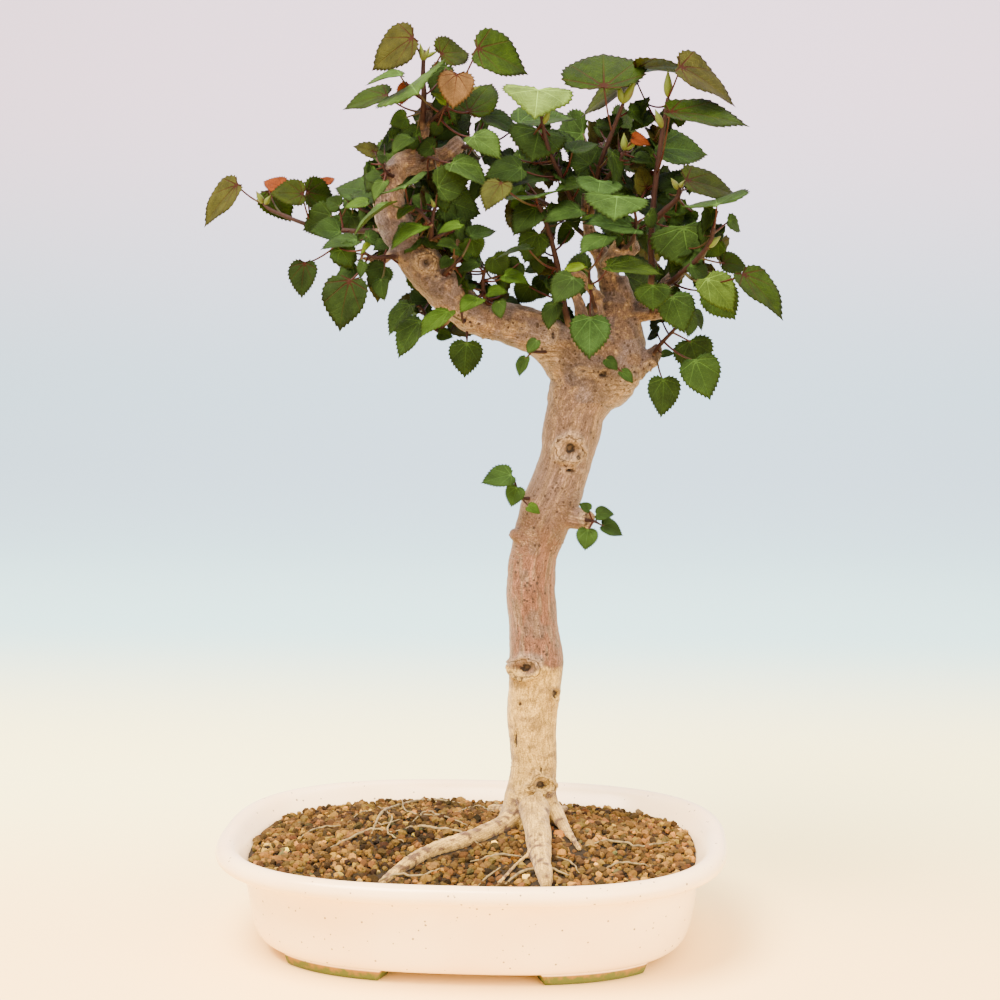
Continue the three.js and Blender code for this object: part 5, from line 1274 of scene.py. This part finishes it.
def back_shoot(begin, end):
    """A twig behind the crown: four leaves along its outer half, each a golden turn on from the last. Notches
    stand round the twig and above it, and tips lie further out and lower."""
    begin, end = np.array(begin, float), np.array(end, float)
    middle = (begin + end) / 2 - [0, 8, 0]
    leaves = []
    for k in range(4):
        right, down, depth = begin + (end - begin) * (0.45 + 0.55 * k / 3)
        c, s = np.cos(k * GOLDEN_TURN), np.sin(k * GOLDEN_TURN)
        notch = (right + 18 * c, down - 12 - 10 * s + 9 * (k - 2), depth + 6 * max(0, s))
        tip = (notch[0] + BACK_LEAF * c, notch[1] + 16 - 30 * s)
        leaves.append((*notch, *tip, 14, BACK_LEAF, right, down, BACK_TONES[k]))
    return [(BACK_TWIG, [tuple(begin), tuple(middle), tuple(end)])], leaves


def leaf_outline(half_steps):
    """The blade's outline as (t, s) pairs in even steps, from the notch round the right half to the tip and
    back by the left, and the way in which every other one is pushed out and towards the tip as a tooth."""
    half = np.array(HALF_OUTLINE, float)
    half = smooth_path(np.column_stack([half, np.zeros(len(half))]), 400)[:, :2]
    run = length_along(half)
    at = np.linspace(0, run[-1], half_steps + 1)
    even = np.stack([np.interp(at, run, half[:, k]) for k in (0, 1)], axis=1)
    slope = unit(np.gradient(even, axis=0))
    out = np.stack([-slope[:, 1], slope[:, 0]], axis=1)
    tooth = np.where(np.arange(len(even)) % 2, 1.0, -TOOTH_DIP)[:, None] * (out + TOOTH_LEAN * slope)
    tooth[:2] = tooth[-2:] = 0
    return [np.concatenate([each, each[-2:0:-1] * [1, -1]]) for each in (even, tooth)]


# Grids of a full-grown blade and of a small inner one: outline, teeth, and shares of the way out to the rim
GROWN_BLADE = (*leaf_outline(GROWN_HALF_STEPS), GROWN_RINGS)
SMALL_BLADE = (*leaf_outline(SMALL_HALF_STEPS), SMALL_RINGS)


def leaf_blades(rows, tones, grid, rng):
    """Blades of all leaves of a shoot as one grid each: rings from the hub out over the upper side to the
    rim, and back in under it. Each point is notch + along * t * length + aside * s * width + up * height,
    where height is length * (cup * |s| - droop * t^2) plus small waves that grow towards the rim. A blade
    narrower on the sheet than it grows is rolled about its midrib until it fits."""
    outline, teeth, rings = grid
    rows = np.asarray(rows, float)
    count = len(rows)
    notch = seen(rows[:, :3])
    along = seen(np.column_stack([rows[:, 3:5], rows[:, 2] + rows[:, 5]])) - notch
    length = np.linalg.norm(along, axis=1)
    along = unit(along)
    to_eye = unit(EYE - notch)
    flat = unit(np.cross(along, to_eye))
    deep = unit(np.cross(flat, along))
    spread = real_size(np.abs(rows[:, 6]), rows[:, 2])
    width = np.maximum(spread, BLADE_WIDTH * length * 0.999)
    roll = np.arccos(np.minimum(1, spread / width))[:, None]
    asides = [flat * np.cos(roll) + deep * np.sin(roll), flat * np.cos(roll) - deep * np.sin(roll)]
    # It can be rolled either way, so its face looks up as far as it can, or down where the underside shows
    faces = [unit(np.cross(along, each)) for each in asides]
    faces = [each * np.where((each * to_eye).sum(axis=1) < 0, -1, 1)[:, None] for each in faces]
    first_higher = faces[0][:, 2] >= faces[1][:, 2]
    take_first = (first_higher == (rows[:, 6] > 0))[:, None]
    aside = np.where(take_first, asides[0], asides[1])
    face = np.where(take_first, faces[0], faces[1])
    up = face * np.where((rows[:, 6] > 0) | (face[:, 2] > 0), 1, -1)[:, None]
    aside = aside * np.where((np.cross(along, aside) * up).sum(axis=1) > 0, 1, -1)[:, None]

    # From the middle out over the upper side, then back in under it
    share = np.array(rings + rings[-2::-1])[:, None]
    under = np.array([0] * (len(rings) - 1) + [0.5] + [1] * (len(rings) - 1))[:, None]
    bite = np.interp(length, TOOTH_LENGTHS, [COARSE_TOOTH, FINE_TOOTH])[:, None, None]
    rim = outline + bite * teeth
    t = HUB + (rim[:, None, :, 0] - HUB) * share
    s = rim[:, None, :, 1] * share
    angle = np.arctan2(s * BLADE_DRAWN_WIDTH, t - HUB)
    phase = rng.uniform(0, 2 * np.pi, (count, 1, 1))
    twist = rng.normal(0, BLADE_TWIST, (count, 1, 1))
    soft = np.sqrt(s ** 2 + MIDRIB_SOFTNESS ** 2) - MIDRIB_SOFTNESS
    wave = (WAVE * np.sin(3 * angle + phase) + RIPPLE * np.sin(7 * angle + 2 * phase)) * share ** 2.2
    puff = PUFF * np.abs(np.sin(angle / VEIN_FAN * np.pi)) * share * (1.15 - share)
    height = BLADE_CUP * soft - BLADE_DROOP * t ** 2 + twist * t * s * 2 + wave + puff
    height = height * length[:, None, None] - under * BLADE_THICKNESS
    points = notch[:, None, None] + sum(
        way[:, None, None] * part[..., None]
        for way, part in [(along, t * length[:, None, None]), (aside, s * width[:, None, None]), (up, height)]
    )
    ring_count, columns = len(share), len(outline)
    middles = (points[:, [0, -1]]).mean(axis=2)
    points = np.concatenate([points.reshape(count, -1, 3), middles], axis=1)
    top = ring_count * columns
    one = [
        grid_faces(ring_count, columns),
        np.concatenate([cap_faces(0, columns, top, True), cap_faces(top - columns, columns, top + 1, False)]),
    ]
    blade = np.stack(np.broadcast_arrays(t, s * BLADE_DRAWN_WIDTH, under), axis=-1).reshape(count, -1, 3)
    blade = np.concatenate([blade, np.broadcast_to([[HUB, 0, 0], [HUB, 0, 1]], (count, 2, 3))], axis=1)
    tint = np.array([hex_colour(TONES[tone], float(tone in RED_VEINED)) for tone in tones])
    tint[:, :3] *= rng.uniform(*LEAF_LIGHT, (count, 1))
    per_leaf = points.shape[1]
    shift = (np.arange(count) * per_leaf)[:, None, None]
    faces = [(each[None] + shift).reshape(-1, each.shape[1]) for each in one]
    return (points.reshape(-1, 3), faces, blade.reshape(-1, 3), np.repeat(tint, per_leaf, axis=0),
            notch, along, up)


def inner_leaves(stems, rng):
    """Small dark leaves of the crown's shaded inside: each stands a short way off a random place of the stems
    and behind it, and hangs in a random direction."""
    places = stem_places(stems)
    count = int(len(places) * INNER_LEAF_SHARE)
    foot = places[rng.integers(len(places) // 6, len(places), count)]
    around = rng.uniform(0, 2 * np.pi, count)
    off = rng.uniform(*INNER_OFF, count)
    hang = np.pi / 2 + rng.normal(0, INNER_HANG, count)
    length = rng.uniform(*INNER_LENGTH, count)
    behind = rng.uniform(*INNER_BEHIND, count)
    notch = foot + np.stack([off * np.cos(around), off * np.sin(around), behind], axis=1)
    tip = notch[:, :2] + np.stack([length * np.cos(hang), length * np.sin(hang)], axis=1)
    inside = np.maximum(notch[:, 1], tip[:, 1]) < INNER_LOWEST
    inside &= np.minimum(notch[:, 1], tip[:, 1]) > INNER_HIGHEST
    inside &= np.minimum(notch[:, 0], tip[:, 0]) > INNER_LEFTMOST
    inside &= (np.abs(notch[:, 0] - WOOD_HEAD[0]) > WOOD_HEAD[2]) | (notch[:, 1] < WOOD_HEAD[1])
    spread = length * rng.uniform(0.5, 1.0, count)
    rows = np.column_stack([notch, tip, rng.uniform(-6, 8, count), spread, foot[:, :2]])[inside]
    return [(*row, tone) for row, tone in zip(rows, rng.choice(list(INNER_TONES), len(rows)))]


def leaf_stalks(rows, stems, notch, along, up):
    """Stalks as rings from the nearest place of the stem to the notch: a line that sags when it is long, and
    bows away from the blade's upper side."""
    places = stem_places(stems)
    feet = np.array([row[7:9] for row in rows], float)
    foot = seen(places[np.argmin(((feet[:, None] - places[None, :, :2]) ** 2).sum(axis=2), axis=1)])
    gap = np.linalg.norm(notch - foot, axis=1)
    sag = np.where(gap > LONG_STALK, STALK_SAG * gap, 0.0)
    end = notch + along * 0.9 - up * (BLADE_THICKNESS / 2)
    t = np.linspace(0, 1, STALK_STEPS)[None, :, None]
    path = foot[:, None] * (1 - t) + end[:, None] * t
    hang = sag[:, None] * [0, 0, 1] + up * (STALK_BOW * gap)[:, None]
    path = path - 4 * t * (1 - t) * hang[:, None]
    radius = STALK_RADIUS * np.linspace(*STALK_TAPER, STALK_STEPS)
    return [tube(each, radius, STALK_SIDES) for each in path]


# A living leaf: thin and soft, dull with a faint sheen, mottled, and puffed up between its sunken veins.
# Seven veins fan from the notch, with slanting side veins and a fine net between them, paler than the blade.
# On the tones of RED_VEINED the main veins are dark red near the stalk
# In leaf lengths: where the veins start, half their width at the notch and the tip, and the side veins' gap
VEIN_START = 0.02
VEIN_WIDTHS = (0.012, 0.003)
SIDE_VEIN_GAP = 0.1
SIDE_VEIN_SLANT = 0.8
# Cells of the net along one leaf
NET_CELLS = 26.0
LEAF_MOTTLE_SIZE = 6.6667
VEIN_LIGHT = 2.7
VEIN_SHARE = 0.68
VEIN_RED = "#220A08"
UNDERSIDE_GREEN = "#33421F"
UNDERSIDE_SHARE = 0.4
leaf_blade, tree, shader = new_material("living_hibiscus_leaf")
blade_place = add_node(tree, "Attribute", attribute_name="blade").outputs["Vector"]
tint_node = add_node(tree, "Attribute", attribute_name="tint")
tint, redness = tint_node.outputs["Color"], tint_node.outputs["Alpha"]
blade_parts = add_node(tree, "SeparateXYZ", {0: blade_place}).outputs
t_raw = add_node(tree, "Math", {0: blade_parts["X"], 1: VEIN_START}, operation="SUBTRACT").outputs[0]
angle = add_node(tree, "Math", {0: blade_parts["Y"], 1: t_raw}, operation="ARCTAN2").outputs[0]
far_vector = add_node(tree, "CombineXYZ", {0: t_raw, 1: blade_parts["Y"]}).outputs[0]
far = add_node(tree, "VectorMath", {0: far_vector}, operation="LENGTH").outputs["Value"]
off_vein = add_node(tree, "Math", {0: angle, 1: VEIN_FAN / 2, 2: -VEIN_FAN / 2}, operation="WRAP").outputs[0]
sine = add_node(tree, "Math", {0: off_vein}, operation="SINE").outputs[0]
cosine = add_node(tree, "Math", {0: off_vein}, operation="COSINE").outputs[0]
across = add_node(tree, "Math", {0: far, 1: sine}, operation="MULTIPLY").outputs[0]
across = add_node(tree, "Math", {0: across}, operation="ABSOLUTE").outputs[0]
down_vein = add_node(tree, "Math", {0: far, 1: cosine}, operation="MULTIPLY").outputs[0]
main_width = add_node(tree, "MapRange", {"Value": far, 3: VEIN_WIDTHS[0], 4: VEIN_WIDTHS[1]}).outputs[0]
main_edge = add_node(tree, "Math", {0: main_width, 1: across}, operation="SUBTRACT").outputs[0]
main_vein = add_node(tree, "MapRange", {"Value": main_edge, 1: -0.006, 2: 0.004, 3: 0.0, 4: 1.0}).outputs[0]
slant = add_node(tree, "Math", {0: across, 1: SIDE_VEIN_SLANT}, operation="MULTIPLY").outputs[0]
chevron = add_node(tree, "Math", {0: down_vein, 1: slant}, operation="SUBTRACT").outputs[0]
repeat = add_node(tree, "Math", {0: chevron, 1: SIDE_VEIN_GAP / 2, 2: -SIDE_VEIN_GAP / 2},
                  operation="WRAP").outputs[0]
repeat = add_node(tree, "Math", {0: repeat}, operation="ABSOLUTE").outputs[0]
side_vein = add_node(tree, "MapRange", {"Value": repeat, 1: 0.002, 2: 0.009, 3: 0.75, 4: 0.0}).outputs[0]
net = add_node(tree, "TexVoronoi", {"Vector": blade_place, "Scale": NET_CELLS},
               feature="DISTANCE_TO_EDGE").outputs["Distance"]
net_vein = add_node(tree, "MapRange", {"Value": net, 1: 0.02, 2: 0.12, 3: 0.24, 4: 0.0}).outputs[0]
veins = add_node(tree, "Math", {0: main_vein, 1: side_vein}, operation="MAXIMUM").outputs[0]
veins = add_node(tree, "Math", {0: veins, 1: net_vein}, operation="MAXIMUM").outputs[0]
place = add_node(tree, "TexCoord").outputs["Object"]
mottle = add_node(tree, "TexNoise", {"Vector": place, "Scale": 1000 / LEAF_MOTTLE_SIZE,
                                     "Detail": 3.0}).outputs["Fac"]
mottle_light = add_node(tree, "MapRange", {"Value": mottle, 1: 0.35, 2: 0.65, 3: 0.72, 4: 1.3}).outputs[0]
flesh = add_node(tree, "VectorMath", {0: tint, "Scale": mottle_light}, operation="SCALE").outputs[0]
pale = add_node(tree, "VectorMath", {0: flesh, "Scale": VEIN_LIGHT}, operation="SCALE").outputs[0]
vein_share = add_node(tree, "Math", {0: veins, 1: VEIN_SHARE}, operation="MULTIPLY").outputs[0]
upper = add_node(tree, "Mix", {0: vein_share, 6: flesh, 7: pale}, data_type="RGBA").outputs[2]
red_reach = add_node(tree, "MapRange", {"Value": far, 1: 0.1, 2: 0.8, 3: 0.95, 4: 0.35}).outputs[0]
red_share = add_node(tree, "Math", {0: red_reach, 1: redness}, operation="MULTIPLY").outputs[0]
red_vein = add_node(tree, "Math", {0: red_share, 1: main_vein}, operation="MULTIPLY").outputs[0]
upper = add_node(tree, "Mix", {0: red_vein, 6: upper, 7: hex_colour(VEIN_RED)}, data_type="RGBA").outputs[2]
lower = add_node(tree, "Mix", {0: UNDERSIDE_SHARE, 6: flesh, 7: hex_colour(UNDERSIDE_GREEN)},
                 data_type="RGBA").outputs[2]
lower = add_node(tree, "Mix", {0: red_vein, 6: lower, 7: hex_colour(VEIN_RED)}, data_type="RGBA").outputs[2]
colour = add_node(tree, "Mix", {0: blade_parts["Z"], 6: upper, 7: lower}, data_type="RGBA").outputs[2]
tree.links.new(colour, shader.inputs["Base Color"])
sunk = add_node(tree, "Math", {0: veins, 1: -1.0}, operation="MULTIPLY").outputs[0]
relief = add_node(tree, "Bump", {"Height": sunk, "Strength": 0.8, "Distance": 0.0005})
tree.links.new(relief.outputs[0], shader.inputs["Normal"])
gloss = add_node(tree, "MapRange", {"Value": mottle, 1: 0.3, 2: 0.7, 3: 0.5, 4: 0.62}).outputs[0]
tree.links.new(gloss, shader.inputs["Roughness"])
shader.inputs["Specular IOR Level"].default_value = 0.04

# Young leaf stalk: smooth, waxy and red-brown, with greener stretches
STALK_RED = "#2B0E0C"
STALK_GREEN = "#343A1F"
STRETCH_SIZE = 16.6667
leaf_stalk, tree, shader = new_material("red_brown_leaf_stalk")
place = add_node(tree, "TexCoord").outputs["Object"]
stretch = add_node(tree, "TexNoise", {"Vector": place, "Scale": 1000 / STRETCH_SIZE,
                                      "Detail": 2.0}).outputs["Fac"]
share = add_node(tree, "MapRange", {"Value": stretch, 1: 0.52, 2: 0.7, 3: 0.0, 4: 0.8}).outputs[0]
colour = add_node(tree, "Mix", {0: share, 6: hex_colour(STALK_RED), 7: hex_colour(STALK_GREEN)},
                  data_type="RGBA").outputs[2]
tree.links.new(colour, shader.inputs["Base Color"])
shader.inputs["Roughness"].default_value = 0.5
shader.inputs["Specular IOR Level"].default_value = 0.2

# Twig bark: purple-brown and smooth on this year's growth, and tan and finely ridged on older wood
OLD_SHARE = 0.12
OLD_BARK, OLD_RIDGE = "#3F352F", "#5B4C40"
YOUNG_BARK, YOUNG_RIDGE = "#190909", "#231110"
RIDGE_SIZE = 2.0
twig_bark, tree, shader = new_material("young_twig_bark")
place = add_node(tree, "TexCoord").outputs["Object"]
ridge = add_node(tree, "TexNoise", {"Vector": place, "Scale": 1000 / RIDGE_SIZE,
                                    "Detail": 4.0}).outputs["Fac"]
share = add_node(tree, "MapRange", {"Value": ridge, 1: 0.35, 2: 0.65, 3: 0.0, 4: 1.0}).outputs[0]
old = add_node(tree, "Mix", {0: share, 6: hex_colour(OLD_BARK), 7: hex_colour(OLD_RIDGE)},
               data_type="RGBA").outputs[2]
young = add_node(tree, "Mix", {0: share, 6: hex_colour(YOUNG_BARK), 7: hex_colour(YOUNG_RIDGE)},
                 data_type="RGBA").outputs[2]
age = add_node(tree, "Attribute", attribute_name="tint").outputs["Fac"]
colour = add_node(tree, "Mix", {0: age, 6: young, 7: old}, data_type="RGBA").outputs[2]
tree.links.new(colour, shader.inputs["Base Color"])
relief = add_node(tree, "Bump", {"Height": ridge, "Strength": 0.4, "Distance": 0.0004})
tree.links.new(relief.outputs[0], shader.inputs["Normal"])
shader.inputs["Roughness"].default_value = 0.75
shader.inputs["Specular IOR Level"].default_value = 0.2

# Every shoot is one mesh: its blades, then its stalks and stems as bars, each with the number of its finish
# and its shares of old bark
all_shoots = SHOOTS | {name: back_shoot(begin, end) for name, (begin, end) in BACK_SHOOTS.items()}
for number, (name, (stems, leaves)) in enumerate(all_shoots.items()):
    rng = np.random.default_rng(SHOOT_SEED + number)
    points, faces, blade, tint, finishes, bars, start = [], [], [], [], [], [], 0
    inner = inner_leaves(stems, rng) if name.startswith("shoot") else []
    for batch, grid in [(leaves, GROWN_BLADE), (inner, SMALL_BLADE)]:
        if not batch:
            continue
        rows, tones = [row[:9] for row in batch], [row[9] for row in batch]
        made, made_faces, measures, colours, notch, along, up = leaf_blades(rows, tones, grid, rng)
        points.append(made)
        blade.append(measures)
        tint.append(colours)
        faces += [each + start for each in made_faces]
        finishes.append(np.zeros(sum(len(each) for each in made_faces), int))
        bars += [(rings, 1, np.zeros(len(rings))) for rings in leaf_stalks(rows, stems, notch, along, up)]
        start += len(made)
    for radius, path in stems:
        count = STEM_STEPS * len(path)
        middle = seen(smooth_path(np.array(path, float), count))
        knots = 1 + STEM_KNOT * np.exp(-((np.arange(count) % STEM_STEPS - STEM_STEPS / 2) / 1.2) ** 2)
        old = 1 - ramp(np.linspace(0, 1, count), 0.8 * OLD_SHARE, 1.4 * OLD_SHARE)
        bars.append((tube(middle, radius * np.linspace(*STEM_TAPER, count) * knots, STEM_SIDES), 2, old))
    bar_points, bar_faces = capped_bars([rings for rings, _, _ in bars], start)
    points.append(bar_points)
    faces += bar_faces
    blade.append(np.zeros((len(bar_points), 3)))
    for rings, finish, old in bars:
        count, sides = rings.shape[:2]
        tint.append(np.repeat(np.append(np.repeat(old, sides), old[[0, -1]])[:, None], 4, axis=1))
        finishes.append(np.full((count + 1) * sides, finish))
    mesh = smooth_mesh(name + "_leaves", np.concatenate(points) * MM, faces)
    store(mesh, "tint", "FLOAT_COLOR", np.concatenate(tint))
    store(mesh, "blade", "FLOAT_VECTOR", np.concatenate(blade))
    mesh.polygons.foreach_set("material_index", np.concatenate(finishes).astype(np.int32))
    shoot = add_piece(name + "_leaves", mesh, [leaf_blade, leaf_stalk, twig_bark])
    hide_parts(name)

# The buds
# Soft pointed leaf buds and pairs of yellow-green scales at the tips of the shoots, up to a centimetre long.
# Each is rolled up tight and grows straight from its twig.

# [foot right, down, tip right, down, half width on the sheet]; the depth is that of the nearest twig
BUDS = [
    (262, 205, 256, 191, 4), (266, 204, 271, 195, 4), (426, 62, 420, 43, 4), (426, 62, 430, 46, 3),
    (433, 58, 438, 51, 3), (626, 103, 618, 84, 5), (626, 103, 636, 79, 6), (668, 98, 668, 70, 6),
    (660, 128, 655, 109, 5), (626, 152, 624, 133, 5), (628, 150, 640, 138, 4), (546, 125, 551, 107, 4),
    (674, 190, 671, 178, 4), (680, 188, 685, 180, 3), (716, 253, 721, 236, 5), (466, 89, 480, 86, 5),
    (436, 208, 431, 199, 3), (589, 290, 590, 279, 4), (612, 392, 608, 385, 3),
]
BUD_STEPS = 12
BUD_SIDES = 10
BUD_GIRTH = 0.8
BUD_FORWARD = 1.5
BUD_THINNEST = 0.12
every_place = np.concatenate([stem_places(stems) for stems, _ in all_shoots.values()])
bud_bars = []
for foot_right, foot_down, tip_right, tip_down, half_width in BUDS:
    gap = np.hypot(every_place[:, 0] - foot_right, every_place[:, 1] - foot_down)
    foot_place = every_place[np.argmin(gap)]
    foot_point, tip_point = seen([foot_place, [tip_right, tip_down, foot_place[2] - BUD_FORWARD]])
    t = np.linspace(0, 1, BUD_STEPS)
    path = foot_point + (tip_point - foot_point) * t[:, None]
    taper = (0.12 + np.sin(np.pi * t ** 0.8)) * (1 - 0.35 * t)
    girth = real_size(BUD_GIRTH * half_width, foot_place[2]) * taper
    bud_bars.append(tube(path, np.maximum(girth, BUD_THINNEST), BUD_SIDES))
bud_points, bud_faces = capped_bars(bud_bars)

# Bud skin: downy and soft, yellow-green with a pink flush
BUD_GREEN = "#3F5014"
BUD_PINK = "#452D22"
FLUSH_SIZE = 3.3333
bud_skin, tree, shader = new_material("downy_yellow_green_bud")
place = add_node(tree, "TexCoord").outputs["Object"]
flush = add_node(tree, "TexNoise", {"Vector": place, "Scale": 1000 / FLUSH_SIZE,
                                    "Detail": 2.0}).outputs["Fac"]
share = add_node(tree, "MapRange", {"Value": flush, 1: 0.5, 2: 0.72, 3: 0.0, 4: 0.6}).outputs[0]
colour = add_node(tree, "Mix", {0: share, 6: hex_colour(BUD_GREEN), 7: hex_colour(BUD_PINK)},
                  data_type="RGBA").outputs[2]
tree.links.new(colour, shader.inputs["Base Color"])
shader.inputs["Roughness"].default_value = 0.55
shader.inputs["Sheen Weight"].default_value = 0.1
shader.inputs["Specular IOR Level"].default_value = 0.2
add_piece("leaf_buds", smooth_mesh("leaf_buds", bud_points * MM, bud_faces), [bud_skin])

# The room
# A pale paper sweep, flat under the pot and curving up far behind it, in soft even light from the
# upper left, and the eye of the sheet. Its colour is graded as painted light: warm cream near the pot, cool
# blue and lavender further back
studio_floor, tree, shader = new_material("matt_studio_paper")
place = add_node(tree, "TexCoord").outputs["Object"]
parts = add_node(tree, "SeparateXYZ", {0: place}).outputs
back = add_node(tree, "Math", {0: parts["Y"], 1: parts["Z"]}, operation="ADD").outputs[0]
# The paper's colour near the pot is painted warm light
colour = hex_colour("#FFE09A")
# [metres back where a tint begins, and where it is full, tint]; the tints are painted light, cooler further
# back
for begin, full, tint in [
    (-0.05, 0.3, "#FFFFBE"), (0.3, 0.8, "#AADDE2"), (0.8, 1.7, "#9CBCCE"), (1.9, 3.1, "#D0C0D2"),
]:
    share = add_node(tree, "MapRange", {"Value": back, 1: begin, 2: full},
                     interpolation_type="SMOOTHSTEP").outputs[0]
    colour = add_node(tree, "Mix", {0: share, 6: colour, 7: hex_colour(tint)}, data_type="RGBA").outputs[2]
tree.links.new(colour, shader.inputs["Base Color"])
shader.inputs["Roughness"].default_value = 0.9
SWEEP_HALF_WIDTH = 4
SWEEP_START = 1.2
SWEEP_RADIUS = 1.5
SWEEP_FRONT = -3
SWEEP_TOP = 4
SWEEP_STEPS = 25
rising = np.linspace(0, np.pi / 2, SWEEP_STEPS)
sweep = np.concatenate([
    [(SWEEP_FRONT, 0)],
    np.stack([SWEEP_START + SWEEP_RADIUS * np.sin(rising), SWEEP_RADIUS * (1 - np.cos(rising))], axis=1),
    [(SWEEP_START + SWEEP_RADIUS, SWEEP_TOP)],
])
sweep_points = np.concatenate([np.column_stack([np.full(len(sweep), x), sweep])
                               for x in (-SWEEP_HALF_WIDTH, SWEEP_HALF_WIDTH)])
first = np.arange(len(sweep) - 1)
sweep_faces = np.stack([first, first + len(sweep), first + len(sweep) + 1, first + 1], axis=1)
floor_mesh = smooth_mesh("floor", sweep_points, [sweep_faces])
floor_mesh.materials.append(studio_floor)
floor = bpy.data.objects.new("floor", floor_mesh)
bpy.context.scene.collection.objects.link(floor)
world = bpy.data.worlds.new("studio")
world.use_nodes = True
world.node_tree.nodes["Background"].inputs["Color"].default_value = hex_colour("#FFE8D0")
world.node_tree.nodes["Background"].inputs["Strength"].default_value = 3.0
bpy.context.scene.world = world
# [name, watts, colour, size, place, place it looks at], in metres
for name, power, tone, size, place, target in [
    ("key", 148.0, "#FFE8CE", 0.9, (-0.5, -0.6, 1.55), (0.0, 0.0, 0.2)),
    ("fill", 40.0, "#FFE8CE", 1.2, (1.0, -0.9, 0.6), (0.0, 0.0, 0.2)),
    ("backdrop", 60.0, "#9CC8FF", 1.6, (0.0, 0.9, 1.9), (0.0, 2.5, 0.5)),
]:
    light = bpy.data.lights.new(name, "AREA")
    light.energy = power
    light.size = size
    light.color = hex_colour(tone)[:3]
    lamp = bpy.data.objects.new(name, light)
    lamp.location = place
    toward = Vector(target) - Vector(place)
    lamp.rotation_euler = toward.to_track_quat("-Z", "Y").to_euler()
    bpy.context.scene.collection.objects.link(lamp)
view = bpy.data.cameras.new("eye")
view.lens = 72
view.sensor_width = 36
eye = bpy.data.objects.new("eye", view)
eye.location = EYE * MM
eye.rotation_euler = (np.pi / 2 - EYE_PITCH, 0, EYE_TURN)
bpy.context.scene.collection.objects.link(eye)
bpy.context.scene.camera = eye
